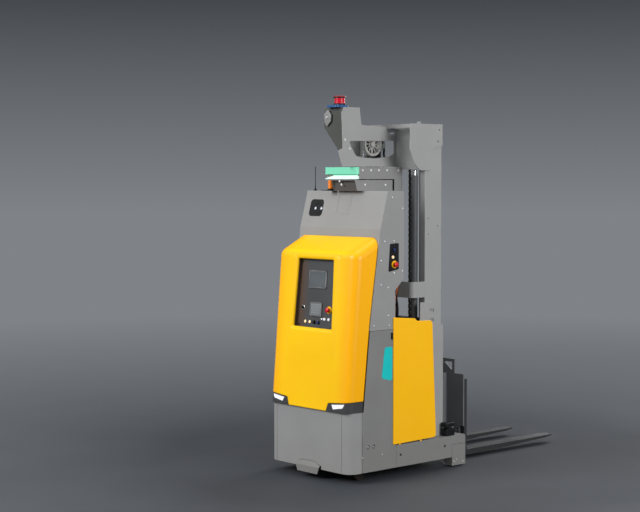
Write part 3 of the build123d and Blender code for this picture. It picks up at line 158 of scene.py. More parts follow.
def blotches(tree, place, size_mm, low, high, detail=3.0, stretch=(1, 1, 1)):
    """Soft noise of a real size, mapped to the range low to high."""
    spread = add(tree, "ShaderNodeMapping", {"Vector": place.outputs["Object"]}, Scale=stretch)
    noise = add(tree, "ShaderNodeTexNoise", {"Vector": spread.outputs["Vector"]},
                Scale=1000.0 / size_mm, Detail=detail)
    return add(tree, "ShaderNodeMapRange", {"Value": noise.outputs["Fac"]},
               From_Min=NOISE_LOW, From_Max=NOISE_HIGH, To_Min=low, To_Max=high).outputs["Result"]


def blend_colours(tree, factor, first, second):
    """Mix of two hex colours, or of a link and a hex colour, by a link."""
    mix = add(tree, "ShaderNodeMix", {"Factor": factor}, data_type="RGBA")
    for socket, value in ((MIX_FIRST, first), (MIX_SECOND, second)):
        if isinstance(value, str):
            mix.inputs[socket].default_value = colour(value)
        else:
            tree.links.new(value, mix.inputs[socket])
    return mix.outputs[MIX_COLOUR]


def surface_bump(tree, place, sizes, edge_mm=1.5):
    """Rounded edges, then one bump for each (grain in mm, depth in mm, strength)."""
    normal = add(tree, "ShaderNodeBevel", samples=4, Radius=mm(edge_mm)).outputs["Normal"]
    for grain, depth, strength in sizes:
        height = blotches(tree, place, grain, 0.0, 1.0, detail=2.0)
        normal = add(tree, "ShaderNodeBump", {"Height": height, "Normal": normal},
                     Strength=strength, Distance=mm(depth)).outputs["Normal"]
    return normal


print("helpers ready")

# %% [markdown]
# ## Painted steel
# Sheet covers, mast and arms are powder coated steel. The powder melts into a skin with a faint
# orange peel, about 2 mm from crest to crest. That is too fine to show at this distance, so it is
# drawn at 9 mm. Paint is a dielectric: IOR 1.5, not metallic, roughness 0.35 to 0.55 for satin.
# Handling rubs the paint paler along its edges. The Bevel node finds them: where the rounded
# normal leaves the flat one, there is an edge. Some boxes have a darker face toward the front.

# %% Powder coat
RUBBED, DUST = "#D2D2CE", "#8A8478"
DUST_TOP, DUST_FULL = 0.45, 0.02  # metres above the floor
ORANGE_PEEL = (9, 0.4, 0.12)  # mm apart, mm deep, strength


def powder_coat(name, hex_code, pale_hex, roughness=0.42, wear=0.5, dust=0.0, front=None):
    """Satin paint with orange peel, slow changes of tone, rubbed edges and dust near the floor.

    front gives a second colour for faces that look forward, below a height in metres.
    """
    finish, tree, place, output = new_finish(name)
    cloud = blotches(tree, place, 260, 0.0, 0.5)
    paint = blend_colours(tree, cloud, hex_code, pale_hex)
    wide = add(tree, "ShaderNodeBevel", samples=4, Radius=mm(3.5))
    flat = add(tree, "ShaderNodeNewGeometry")
    if front:
        forward = add(tree, "ShaderNodeSeparateXYZ", {"Vector": flat.outputs["Normal"]})
        forward = add(tree, "ShaderNodeMapRange", {"Value": forward.outputs["Y"]},
                      From_Min=-0.6, From_Max=-0.7)
        level = add(tree, "ShaderNodeSeparateXYZ", {"Vector": place.outputs["Object"]})
        below = add(tree, "ShaderNodeMapRange", {"Value": level.outputs["Z"]},
                    From_Min=front[1] + 0.001, From_Max=front[1])
        both = add(tree, "ShaderNodeMath",
                   {0: forward.outputs["Result"], 1: below.outputs["Result"]}, operation="MULTIPLY")
        paint = blend_colours(tree, both.outputs["Value"], paint, front[0])
    along = add(tree, "ShaderNodeVectorMath",
                {0: wide.outputs["Normal"], 1: flat.outputs["Normal"]}, operation="DOT_PRODUCT")
    edge = add(tree, "ShaderNodeMapRange", {"Value": along.outputs["Value"]},
               From_Min=0.995, From_Max=0.8, To_Min=0.0, To_Max=wear)
    scuff = blotches(tree, place, 22, 0.0, 1.0, detail=6.0)
    rubbed = add(tree, "ShaderNodeMath", {0: edge.outputs["Result"], 1: scuff},
                 operation="MULTIPLY")
    paint = blend_colours(tree, rubbed.outputs["Value"], paint, RUBBED)
    if dust:
        height = add(tree, "ShaderNodeSeparateXYZ", {"Vector": place.outputs["Object"]})
        low_down = add(tree, "ShaderNodeMapRange", {"Value": height.outputs["Z"]},
                       From_Min=DUST_TOP, From_Max=DUST_FULL, To_Min=0.0, To_Max=dust)
        patchy = blotches(tree, place, 90, 0.3, 1.0, detail=5.0)
        settled = add(tree, "ShaderNodeMath", {0: low_down.outputs["Result"], 1: patchy},
                      operation="MULTIPLY")
        paint = blend_colours(tree, settled.outputs["Value"], paint, DUST)
    gloss = blotches(tree, place, 180, roughness - 0.06, roughness + 0.08)
    shader = add(tree, "ShaderNodeBsdfPrincipled",
                 {"Base Color": paint, "Roughness": gloss,
                  "Normal": surface_bump(tree, place, [ORANGE_PEEL])},
                 IOR=1.5, Specular_IOR_Level=0.35)
    tree.links.new(shader.outputs["BSDF"], output.inputs["Surface"])
    return finish


grey_coat = powder_coat("powder_coated_steel_grey", "#7C7C7B", "#858585", dust=0.2)
base_coat = powder_coat("powder_coated_steel_mid_grey", "#8F8F8F", "#989898", dust=0.2)
mast_coat = powder_coat("powder_coated_steel_light_grey", "#969696", "#9F9F9E")
pale_coat = powder_coat("powder_coated_steel_pale_grey", "#8D8D8D", "#959594")
BOX_FACE_TOP, WHOLE_FACE = 2.441, 9.0  # metres above the floor
box_coat = powder_coat("powder_coated_box_with_dark_face", "#858585", "#8D8D8D",
                       front=("#4E4A48", BOX_FACE_TOP))
tower_coat = powder_coat("powder_coated_tower_with_dark_face", "#969696", "#9F9F9E",
                         front=("#454744", WHOLE_FACE))
dark_coat = powder_coat("powder_coated_steel_graphite", "#454644", "#4E4F4D", 0.5, wear=0.3)
black_coat = powder_coat("powder_coated_steel_black", "#4A4C4F", "#56585B", 0.45, wear=0.4)
# The carriage gets a paler copy of the black paint: painted light for a frame that stands in shade.
carriage_coat_painted_light = powder_coat("powder_coated_steel_charcoal_painted_light", "#66686B", "#727477", 0.5, wear=0.4)
yellow_coat = powder_coat("powder_coated_steel_yellow", "#FFBC00", "#FFC200", 0.45, wear=0.1,
                          dust=0.05)
print("painted steel finishes: 10")

# %% [markdown]
# ## Worn forks
# Fork blades are forged, painted black and then rubbed bright by every pallet they enter. The wear
# lies in patches on the top faces, and its scratches run along the blade. A noise that is
# stretched 12 times along the blade gives the scratches, and the surface normal tells the top.

# %% Fork paint with its scratches


def fork_paint(name):
    """Black paint that is scratched through to the steel on upward faces."""
    finish, tree, place, output = new_finish(name)
    scratches = blotches(tree, place, 5, 0.0, 1.0, detail=6.0, stretch=(1, 0.08, 1))
    patches = blotches(tree, place, 160, 0.0, 1.0, detail=4.0, stretch=(1, 0.4, 1))
    normal = add(tree, "ShaderNodeNewGeometry").outputs["Normal"]
    faces = add(tree, "ShaderNodeSeparateXYZ", {"Vector": normal})
    upward = add(tree, "ShaderNodeMapRange", {"Value": faces.outputs["Z"]},
                 From_Min=0.7, From_Max=0.98, To_Min=0.08, To_Max=0.75)
    worn = add(tree, "ShaderNodeMath", {0: scratches, 1: patches}, operation="MULTIPLY")
    worn = add(tree, "ShaderNodeMath",
               {0: worn.outputs["Value"], 1: upward.outputs["Result"]}, operation="MULTIPLY")
    skin = blend_colours(tree, worn.outputs["Value"], "#303133", "#8B8B8A")
    shader = add(tree, "ShaderNodeBsdfPrincipled",
                 {"Base Color": skin, "Metallic": worn.outputs["Value"],
                  "Roughness": blotches(tree, place, 50, 0.34, 0.5),
                  "Normal": surface_bump(tree, place, [(14, 0.5, 0.15)], 2.5)}, IOR=1.5)
    tree.links.new(shader.outputs["BSDF"], output.inputs["Surface"])
    return finish


worn_forks = fork_paint("forged_steel_painted_black_worn")
print("fork finish ready")

# %% [markdown]
# ## Mouldings
# The hood is a glass fibre shell, moulded in colour and lacquered. A lacquer over a smooth base
# gives two reflections, a soft one and a sharp one, which the Principled shader's coat does. The
# mould leaves long, shallow waves, some 120 mm apart, that bend reflections a little. Smaller
# mouldings are ABS, nylon, acrylic or rubber, with a spark-eroded grain of about 1 mm. It is drawn
# at 3 to 12 mm so that it shows.

# %% Lacquered shell and plain mouldings
MOULD_WAVE = 120


def moulded(name, hex_code, tone_hex, roughness, grain_mm, coat=0.0, wave=0.0, shade=None,
            edge_mm=1.5):
    """Moulding in one colour; shade is a colour, a start and an end across the truck in metres.

    The shade band is painted light: painted shade on the hood's sides and a painted reflection on
    the panel. A shade that starts right of the middle is mirrored to the left.
    """
    finish, tree, place, output = new_finish(name)
    body = blend_colours(tree, blotches(tree, place, 320, 0.0, 1.0), hex_code, tone_hex)
    # Painted light across the truck: painted shade on the hood, a painted reflection on the panel.
    if shade:
        across = add(tree, "ShaderNodeSeparateXYZ", {"Vector": place.outputs["Object"]})
        across = across.outputs["X"]
        if shade[1] > 0:
            across = add(tree, "ShaderNodeMath", {0: across}, operation="ABSOLUTE").outputs["Value"]
        part = add(tree, "ShaderNodeMapRange", {"Value": across}, interpolation_type="SMOOTHSTEP",
                   From_Min=shade[1], From_Max=shade[2])
        body = blend_colours(tree, part.outputs["Result"], body, shade[0])
    gloss = blotches(tree, place, 90, roughness - 0.03, roughness + 0.05)
    grains = [(grain_mm, 0.3, 0.08), (MOULD_WAVE, 1.0, wave)]
    shader = add(tree, "ShaderNodeBsdfPrincipled",
                 {"Base Color": body, "Roughness": gloss,
                  "Normal": surface_bump(tree, place, grains, edge_mm)},
                 IOR=1.46, Coat_Weight=coat, Coat_Roughness=0.1, Specular_IOR_Level=0.3)
    tree.links.new(shader.outputs["BSDF"], output.inputs["Surface"])
    return finish


# Its sides turn orange: painted shade where the light falls off round the hood's corners.
yellow_shell_painted_shade = moulded("lacquered_glass_fibre_yellow_painted_shade", "#FFC400", "#FFCA00", 0.36, 6.0, coat=0.14,
                       wave=0.2, shade=("#FFB400", 0.3, 0.46), edge_mm=9.0)
dark_moulding = moulded("moulded_abs_graphite", "#3B3B3D", "#434345", 0.45, 5.0)
black_moulding = moulded("moulded_abs_black", "#131416", "#191A1C", 0.45, 4.0)
scanner_red = moulded("tinted_window_red", "#C20C26", "#CC1430", 0.3, 9.0)
beacon_orange = moulded("tinted_dome_orange", "#F07A12", "#F58A22", 0.25, 9.0, coat=0.2)
marker_white = moulded("nylon_rivet_white", "#EDEDEC", "#E2E2E0", 0.4, 5.0)
frame_pale = moulded("moulded_bezel_pale", "#D9DBDC", "#CDD0D1", 0.35, 6.0)
# The brown tint on its left is a painted reflection of the yellow rim in the glossy board.
panel_board_painted_reflection = moulded("textured_panel_board", "#464749", "#4D4E50", 0.35, 4.0, coat=0.3,
                      shade=("#54443A", -0.09, -0.2))
red_button = moulded("gloss_moulding_red", "#C8101A", "#CF1A22", 0.25, 8.0, coat=0.3)
blue_button = moulded("gloss_moulding_blue", "#1D2C58", "#243566", 0.28, 8.0, coat=0.3)
yellow_disc = moulded("gloss_moulding_signal_yellow", "#F6B90C", "#F8BF1C", 0.3, 8.0, coat=0.2)
scanner_blue = moulded("lacquered_housing_blue", "#28507F", "#30598A", 0.35, 7.0, coat=0.2)
tag_teal = moulded("printed_film_teal", "#17BEBE", "#22C4C2", 0.35, 12.0)
key_grey = moulded("silicone_keypad_grey", "#7C8083", "#84888B", 0.55, 5.0)
rubber_black = moulded("moulded_rubber_black", "#101012", "#18181A", 0.75, 3.0)
cable_orange = moulded("braided_cable_sleeve_orange", "#B8591C", "#CC6A26", 0.6, 5.0, wave=0.3)
cable_brown = moulded("extruded_pvc_brown", "#4A2414", "#57301C", 0.5, 5.0)
tread = moulded("cast_polyurethane_tread", "#2B2622", "#352E29", 0.55, 7.0)
print("mouldings: 18")

# %% [markdown]
# ## Bare metals
# Lift rods are hard chromed and ground, so they are nearly mirrors. Chains are plain steel with a
# film of oil, and screws are zinc plated or blackened. A metal keeps the shader's default IOR: its
# colour and its roughness carry the look. Turning and grinding leave fine rings across the axis,
# drawn as stretched noise.

# %% Steel and chrome


def bare_metal(name, hex_code, tone_hex, roughness, grain_mm, stretch=(1, 1, 1)):
    """Metal with a mottled tone; stretch above 1 packs the grain tighter along that axis."""
    finish, tree, place, output = new_finish(name)
    tone = blend_colours(tree, blotches(tree, place, 35, 0.0, 1.0, detail=5.0), hex_code, tone_hex)
    grain = blotches(tree, place, grain_mm, 0.0, 1.0, detail=4.0, stretch=stretch)
    rounded = add(tree, "ShaderNodeBevel", samples=4, Radius=mm(0.8))
    bump = add(tree, "ShaderNodeBump", {"Height": grain, "Normal": rounded.outputs["Normal"]},
               Strength=0.15, Distance=mm(0.2))
    gloss = blotches(tree, place, 60, roughness - 0.05, roughness + 0.08)
    shader = add(tree, "ShaderNodeBsdfPrincipled",
                 {"Base Color": tone, "Roughness": gloss, "Normal": bump.outputs["Normal"]},
                 Metallic=1.0)
    tree.links.new(shader.outputs["BSDF"], output.inputs["Surface"])
    return finish


chrome_rod = bare_metal("hard_chromed_ground_steel", "#D9DADB", "#CFD1D3", 0.14, 5.0, (1, 1, 12))
oiled_steel = bare_metal("oiled_rolled_steel", "#6B6A68", "#4F4C48", 0.38, 7.0)
bright_screw = bare_metal("zinc_plated_steel", "#ECEDEE", "#DCDEDF", 0.45, 6.0)
black_screw = bare_metal("blackened_steel", "#2B2B2D", "#3A3A3A", 0.4, 6.0)
# This iron is paler than cast iron is: painted light, so pulleys and reel read lit in their shade.
pulley_iron_painted_light = bare_metal("turned_cast_iron_painted_light", "#C6C5C2", "#B4B3AF", 0.5, 6.0, (14, 1, 1))
satin_frame = bare_metal("anodised_aluminium", "#A9ABAD", "#9FA1A3", 0.34, 4.0, (1, 12, 1))
print("metals: 6")

# %% [markdown]
# ## Glass and light
# The display is glass over a dark screen. Head lamps, panel lamps and signal band are clear or
# tinted plastic with a light behind, moulded with fine prisms about 4 mm apart. A weak glow in the
# material shows them lit without lighting the truck. The signal band is frosted white below and
# green above, and changes at one height.

# %% Lenses and screens
PRISM, WAVES_PER_UNIT = 4.0, 6.3
BAND_CHANGE = 2.478  # metres above the floor


def glowing(name, hex_code, glow, roughness=0.2, second=None, above=0.0):
    """Tinted plastic with a glow; a second colour can take over above a height in metres."""
    finish, tree, place, output = new_finish(name)
    ribs = add(tree, "ShaderNodeTexWave", {"Vector": place.outputs["Object"]}, bands_direction="X",
               Scale=1000.0 / PRISM / WAVES_PER_UNIT)
    bump = add(tree, "ShaderNodeBump", {"Height": ribs.outputs["Fac"]}, Strength=0.12,
               Distance=mm(0.6))
    body = blend_colours(tree, blotches(tree, place, 110, 0.0, 0.35), hex_code, "#FFFFFF")
    if second:
        height = add(tree, "ShaderNodeSeparateXYZ", {"Vector": place.outputs["Object"]})
        over = add(tree, "ShaderNodeMath", {0: height.outputs["Z"]}, operation="GREATER_THAN")
        over.inputs[1].default_value = above
        body = blend_colours(tree, over.outputs["Value"], body, second)
    shader = add(tree, "ShaderNodeBsdfPrincipled",
                 {"Base Color": body, "Emission Color": body, "Normal": bump.outputs["Normal"]},
                 Roughness=roughness, IOR=1.49, Emission_Strength=glow, Coat_Weight=0.3)
    tree.links.new(shader.outputs["BSDF"], output.inputs["Surface"])
    return finish


def screen_glass(name, hex_code, tone_hex, roughness):
    """Smooth glass with finger smears in its gloss."""
    finish, tree, place, output = new_finish(name)
    tone = blend_colours(tree, blotches(tree, place, 120, 0.0, 1.0), hex_code, tone_hex)
    smear = blotches(tree, place, 40, roughness, roughness + 0.1, detail=5.0)
    shader = add(tree, "ShaderNodeBsdfPrincipled", {"Base Color": tone, "Roughness": smear},
                 IOR=1.5, Coat_Weight=0.6, Coat_Roughness=0.04)
    tree.links.new(shader.outputs["BSDF"], output.inputs["Surface"])
    return finish


signal_band = glowing("frosted_acrylic_signal_band", "#D6F3E8", 0.12, 0.35, second="#78D6B2",
                      above=BAND_CHANGE)
white_lamp = glowing("clear_polycarbonate_lamp", "#E4E8EC", 0.25)
amber_lamp = glowing("tinted_acrylic_amber", "#F3CE86", 0.35)
screen_dark = screen_glass("display_glass", "#555B5F", "#5F6568", 0.12)
# The lens glass is pale grey: a painted glint for the bright discs of the camera's lenses.
lens_glass_painted_glint = screen_glass("coated_lens_glass", "#C4CAD2", "#A8B2C0", 0.05)
print("lenses: 5")

# %% [markdown]
# ## Finishes on the CAD solids
# Each solid that is already the right shape only needs its finish. The table below reads like a
# paint list: a finish, and the pieces that carry it.

# %% Paint list
paint_list = {
    pale_coat: ["cabinet"],
    base_coat: ["front_plate", "corner_covers"],
    grey_coat: ["side_walls", "load_arms", "wheel_housings", "tow_flap"],
    mast_coat: ["mast_head", "outer_uprights", "mast_brackets", "console_arm"],
    box_coat: ["sensor_box"],
    tower_coat: ["scanner_tower"],
    dark_coat: ["chassis_frame", "outer_crossmembers", "power_pack", "battery"],
    black_coat: ["inner_uprights", "inner_crossmembers", "lift_cylinders", "castor_fork_left",
                 "castor_fork_right", "drive_unit"],
    carriage_coat_painted_light: ["carriage_frame", "fork_plate"],
    worn_forks: ["forks"],
    yellow_coat: ["battery_covers"],
    yellow_shell_painted_shade: ["hood"],
    dark_moulding: ["light_housings"],
    satin_frame: ["display"],
    black_moulding: ["side_control_plates", "camera_window", "arm_scanners", "roof_fittings",
                     "key_switch", "front_button_grey"],
    panel_board_painted_reflection: ["control_panel"],
    red_button: ["front_stop", "side_stop_left", "side_stop_right"],
    blue_button: ["front_button_blue", "side_button_left", "side_button_right"],
    yellow_disc: ["stop_collars"],
    amber_lamp: ["indicator_lamps"],
    white_lamp: ["headlamp_lenses"],
    signal_band: ["light_band"],
    scanner_blue: ["scanner_base"],
    scanner_red: ["scanner_head"],
    chrome_rod: ["lift_rods"],
    pulley_iron_painted_light: ["chain_pulleys"],
    oiled_steel: ["chain_anchor_runs", "chain_load_runs", "chain_wraps"],
    tread: ["drive_wheel", "castor_wheels_left", "castor_wheels_right", "load_wheel_left",
            "load_wheel_right"],
    rubber_black: ["wiring_harness"],
}
painted = []
for finish, names in paint_list.items():
    for name in names:
        for material_slot in nodes[name].material_slots:
            material_slot.material = finish
        painted.append(name)
print("painted", len(painted), "of", len(nodes), "unpainted:", sorted(set(nodes) - set(painted)))

# %% [markdown]
# ## Floor and backdrop
# The picture was taken in a grey studio: a dark floor runs into a lighter backdrop, which darkens
# again toward the top. The floor fades into the backdrop some metres out, as a paper sweep does,
# so no horizon line cuts the picture. Light Path lets only the camera and reflections see the
# backdrop, so it puts no light on the truck, and the floor keeps the truck's shadow.

# %% Studio floor
BACKDROP = "#7F8388"
UPPER_BACKDROP = "#43474C"
FADE_START, FADE_END = 0.36, 1.15  # powers of ten of the distance in metres


def shown_rays(tree):
    """Link that is 1 for rays from the camera, from reflections and through glass."""
    path = add(tree, "ShaderNodeLightPath")
    seen = path.outputs["Is Camera Ray"]
    for other in ("Is Glossy Ray", "Is Transmission Ray"):
        seen = add(tree, "ShaderNodeMath", {0: seen, 1: path.outputs[other]},
                   operation="MAXIMUM").outputs["Value"]
    return seen


floor_mesh = bpy.data.meshes.new("studio_floor")
floor_shape = bmesh.new()
bmesh.ops.create_grid(floor_shape, x_segments=8, y_segments=8, size=90)
floor_shape.to_mesh(floor_mesh)
floor = bpy.data.objects.new("studio_floor", floor_mesh)
bpy.context.scene.collection.objects.link(floor)
floor_finish, tree, place, output = new_finish("painted_studio_floor")
tone = blend_colours(tree, blotches(tree, place, 900, 0.0, 1.0), "#3B3E43", "#404348")
floor_shader = add(tree, "ShaderNodeBsdfPrincipled", {"Base Color": tone}, Roughness=0.75,
                   Specular_IOR_Level=0.2)
far = add(tree, "ShaderNodeVectorMath", {0: place.outputs["Object"]}, operation="LENGTH")
decades = add(tree, "ShaderNodeMath", {0: far.outputs["Value"]}, operation="LOGARITHM")
decades.inputs[1].default_value = 10.0
fade = add(tree, "ShaderNodeMapRange", {"Value": decades.outputs["Value"]},
           From_Min=FADE_START, From_Max=FADE_END)
sweep = add(tree, "ShaderNodeEmission", Color=colour(BACKDROP))
seen_fade = add(tree, "ShaderNodeMath", {0: shown_rays(tree), 1: fade.outputs["Result"]},
                operation="MULTIPLY")
mix = add(tree, "ShaderNodeMixShader",
          {0: seen_fade.outputs["Value"], 1: floor_shader.outputs["BSDF"],
           2: sweep.outputs["Emission"]})
tree.links.new(mix.outputs["Shader"], output.inputs["Surface"])
floor_mesh.materials.append(floor_finish)
print("floor fades from", round(10 ** FADE_START, 1), "to", round(10 ** FADE_END, 1), "m")

# %% [markdown]
# The world does two things. It gives the truck an even, near-white soft light, and it shows the
# camera the grey backdrop, which turns from the lighter to the darker grey just above the horizon.

# %% Studio world
SOFT_LIGHT = 0.6
HORIZON, UPPER = -0.02, 0.125  # height of a viewing direction, 1 is straight up
world = bpy.data.worlds.new("studio_world")
bpy.context.scene.world = world
world.use_nodes = True
tree = world.node_tree
tree.nodes.clear()
world_out = add(tree, "ShaderNodeOutputWorld")
soft = add(tree, "ShaderNodeBackground", Color=colour("#F4F5F7"), Strength=SOFT_LIGHT)
toward = add(tree, "ShaderNodeTexCoord").outputs["Generated"]
direction = add(tree, "ShaderNodeSeparateXYZ", {"Vector": toward})
rise = add(tree, "ShaderNodeMapRange", {"Value": direction.outputs["Z"]},
           From_Min=HORIZON, From_Max=UPPER)
wall = blend_colours(tree, rise.outputs["Result"], BACKDROP, UPPER_BACKDROP)
backdrop = add(tree, "ShaderNodeBackground", {"Color": wall})
mix = add(tree, "ShaderNodeMixShader",
          {0: shown_rays(tree), 1: soft.outputs["Background"], 2: backdrop.outputs["Background"]})
tree.links.new(mix.outputs["Shader"], world_out.inputs["Surface"])
bpy.context.scene.view_settings.view_transform = "Standard"
print("soft light strength", SOFT_LIGHT)

# %% [markdown]
# ## Lamps
# Such a machine is lit with one large soft source in front and above, and weaker ones beside,
# behind and on top. The front then reads lighter than the flank, as in the photograph. Colours
# should render about as they are written. A lamp of P watts at d metres gives that alone when P is
# near pi squared times d squared, so each lamp gets a share of that amount.

# %% Soft boxes


def soft_box(name, x, y, z, size, share, aim=(0, 400, 1300)):
    """Square area light aimed at the truck; share is its part of the plain light level."""
    data = bpy.data.lights.new(name, "AREA")
    data.size = size
    lamp = bpy.data.objects.new(name, data)
    bpy.context.scene.collection.objects.link(lamp)
    lamp.location = at(x, y, z)
    throw = at(*aim) - lamp.location
    data.energy = share * (math.pi * throw.length) ** 2
    lamp.rotation_euler = throw.to_track_quat("-Z", "Y").to_euler()
    return round(data.energy)


print("lamps in watts:", soft_box("key_light", -2600, -7200, 5600, 4.5, 0.83),
      soft_box("side_light", 7800, 900, 3900, 3.5, 0.62, (0, 500, 1900)),
      soft_box("back_light", -1500, 8200, 5200, 4.0, 0.38),
      soft_box("top_light", 300, 1200, 9000, 5.0, 0.22))

# %% [markdown]
# ## Making small pieces
# Screws, lamps and links could be modelled by hand, but code repeats them exactly. A turned piece
# is a profile spun round its axis, a plate is an outline given a thickness, and a wire is a ring
# drawn along a smooth curve through a few points.

# %% Turned pieces, plates and wires
CURVE_STEPS = 8


def turned(profile, segments=24):
    """Points and faces of a profile of (radius, height) spun round Z."""
    points, faces, rings = [], [], []
    for radius, height in profile:
        count = segments if radius else 1
        rings.append(list(range(len(points), len(points) + count)))
        for k in range(count):
            angle = 2 * math.pi * k / segments
            points.append(Vector((radius * math.cos(angle), radius * math.sin(angle), height)) / 1000)
    for lower, upper in zip(rings, rings[1:]):
        for k in range(segments):
            j = (k + 1) % segments
            face = [lower[k % len(lower)], lower[j % len(lower)],
                    upper[j % len(upper)], upper[k % len(upper)]]
            face = list(dict.fromkeys(face))
            if len(face) > 2:
                faces.append(face)
    return points, faces


def slab(outline, thick):
    """Points and faces of an outline in X and Y, in millimetres, given a thickness along Z."""
    count = len(outline)
    points = [Vector((x, y, z)) / 1000 for z in (0, thick) for x, y in outline]
    faces = [list(range(count - 1, -1, -1)), list(range(count, 2 * count))]
    faces += [[k, (k + 1) % count, (k + 1) % count + count, k + count] for k in range(count)]
    return points, faces


def tube(path, radius, segments=10):
    """Points and faces of a round wire, curved smoothly through points on the drawing."""
    knots = [at(*p) for p in path]
    knots = [knots[0] * 2 - knots[1]] + knots + [knots[-1] * 2 - knots[-2]]
    track = []
    for a, b, c, d in zip(knots, knots[1:], knots[2:], knots[3:]):
        for s in range(CURVE_STEPS):
            t = s / CURVE_STEPS
            track.append(0.5 * (2 * b + (c - a) * t + (2 * a - 5 * b + 4 * c - d) * t ** 2
                                + (3 * b - 3 * c + d - a) * t ** 3))
    track.append(knots[-2])
    points, faces = [], []
    for k, here in enumerate(track):
        ahead = (track[min(k + 1, len(track) - 1)] - track[max(k - 1, 0)]).normalized()
        side = ahead.cross(Vector((1, 0, 0.3))).normalized()
        for s in range(segments):
            turn = 2 * math.pi * s / segments
            spoke = side * math.cos(turn) + ahead.cross(side) * math.sin(turn)
            points.append(here + mm(radius) * spoke)
    for k in range(len(track) - 1):
        for s in range(segments):
            t = (s + 1) % segments
            row, after = k * segments, (k + 1) * segments
            faces.append([row + s, row + t, after + t, after + s])
    faces += [list(range(segments - 1, -1, -1)), list(range(len(points) - segments, len(points)))]
    return points, faces


print("a plate of four corners has", len(slab([(0, 0), (9, 0), (9, 9), (0, 9)], 1)[1]), "faces")

# %% [markdown]
# A shape is copied to each of its places and the copies become one object, because a hundred
# screws are one kind of thing. It rides on the body that carries it, so it moves with the joint.

# %% Placing pieces
SHARP_EDGE = 0.7  # radians
SMOOTH_BELOW = math.radians(35)


def facing(place, normal):
    """Matrix that sets a piece's Z along a surface's normal."""
    turned_up = Vector(normal).to_track_quat("Z", "Y").to_matrix().to_4x4()
    return Matrix.Translation(place) @ turned_up


def gather(name, shape, places, finish, edge_mm=0.0, body="chassis"):
    """One object made of a shape copied to each place, riding on a body."""
    points, faces = shape
    all_points, all_faces = [], []
    for matrix in places:
        start = len(all_points)
        all_points += [matrix @ p for p in points]
        all_faces += [[start + k for k in face] for face in faces]
    mesh = bpy.data.meshes.new(name)
    mesh.from_pydata(all_points, [], all_faces)
    cleaner = bmesh.new()
    cleaner.from_mesh(mesh)
    if edge_mm:
        sharp = [e for e in cleaner.edges
                 if len(e.link_faces) == 2 and e.calc_face_angle(0) > SHARP_EDGE]
        bmesh.ops.bevel(cleaner, geom=sharp, offset=mm(edge_mm), segments=3, affect="EDGES",
                        profile=0.5)
    bmesh.ops.recalc_face_normals(cleaner, faces=cleaner.faces)
    cleaner.to_mesh(mesh)
    cleaner.free()
    piece = bpy.data.objects.new(name, mesh)
    bpy.context.scene.collection.objects.link(piece)
    mesh.materials.append(finish)
    mesh.shade_smooth()
    mesh.set_sharp_from_angle(angle=SMOOTH_BELOW)
    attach(piece, body)
    return piece


print("faces turn smooth below", round(math.degrees(SMOOTH_BELOW)), "degrees")

# %% [markdown]
# Plates and windows have rounded corners, each an arc that touches both sides. Three heads serve
# every joint of the covers: a pan head with a socket, a domed rivet and a hexagon bolt.

# %% Outlines and heads


def rounded_outline(corners, radius, steps=5):
    """Outline with each corner replaced by an arc."""
    result = []
    count = len(corners)
    for k, corner in enumerate(corners):
        here = Vector(corner)
        before = (Vector(corners[k - 1]) - here).normalized()
        after = (Vector(corners[(k + 1) % count]) - here).normalized()
        half = before.angle(after) / 2
        reach = radius / math.tan(half)
        centre = here + (before + after).normalized() * (radius / math.sin(half))
        first, last = here + before * reach, here + after * reach
        for s in range(steps + 1):
            spoke = (first - centre).normalized().slerp((last - centre).normalized(), s / steps)
            result.append(tuple(centre + radius * spoke))
    return result


def rounded_rect(wide, tall, radius):
    """Outline of a rectangle round the origin."""
    x, y = wide / 2, tall / 2
    return rounded_outline([(-x, -y), (x, -y), (x, y), (-x, y)], radius)


pan_head = turned([(0, 0), (8, 0), (8, 1.8), (6.8, 3.4), (4.6, 4.3), (3.0, 4.4), (2.6, 2.6),
                   (0, 2.6)])
rivet = turned([(0, 0), (9, 0), (8.6, 1.6), (6.4, 3.2), (3.4, 4.1), (0, 4.4)])
hex_head = turned([(0, 0), (13, 0), (13, 1.5), (9.5, 1.6), (9.5, 8.5), (8.6, 9.6), (0, 9.6)], 6)
print("screw faces:", len(pan_head[1]))

# %% [markdown]
# ## Operator panel
# The panel lies in a tray 42 mm behind the hood's face, which leans back by 8 in 100. One function
# gives a place on it from a distance across, up and out, so its pieces are set in its own sizes.

# %% Place on the panel
LEAN = 0.0801
PANEL_DEPTH = 42.0
PANEL_MIDDLE = (0, 56.94, 1512)
ACROSS = Vector((1, 0, 0))
panel_up = Vector((0, LEAN, 1)).normalized()
panel_out = Vector((0, -1, LEAN)).normalized()


def on_panel(across, up, above=0.0):
    """Matrix of a point on the panel's face, Z outward and Y up the panel."""
    spot = at(*PANEL_MIDDLE) + ACROSS * mm(across) + panel_up * mm(up) \
        + panel_out * mm(above - PANEL_DEPTH)
    return Matrix.Translation(spot) @ Matrix((ACROSS, panel_up, panel_out)).transposed().to_4x4()


print("panel centre", on_panel(0, 0).translation[:])

# %% [markdown]
# The hood's front is not quite flat. Between two soft creases, 600 mm apart, the mould stands out
# by some 6 mm, which dies out toward the foot, at the brow and round the panel's opening. A fine
# mesh over the solid's flat front gives this crown. Its rim dips just below the flat front.

# %% Crowned front of the hood
CROWN, RIM_DIP = 6.5, 0.1
CREASE, CROWN_FOOT, CROWN_BROW = 300, 880, 1838
OPENING_HALF_WIDE, OPENING_HALF_TALL = 224, 281
SLANT = 1.0032  # mm up the leaning front per mm of height


def ease(value):
    """Smooth step from 0 to 1."""
    value = min(1.0, max(0.0, value))
    return value * value * (3 - 2 * value)


def past_opening(across, up):
    """Distance in mm from the panel's opening, which is 20 mm wider at its foot than at its top."""
    return max(abs(across) - (OPENING_HALF_WIDE - 10 * up / OPENING_HALF_TALL),
               abs(up) - OPENING_HALF_TALL)


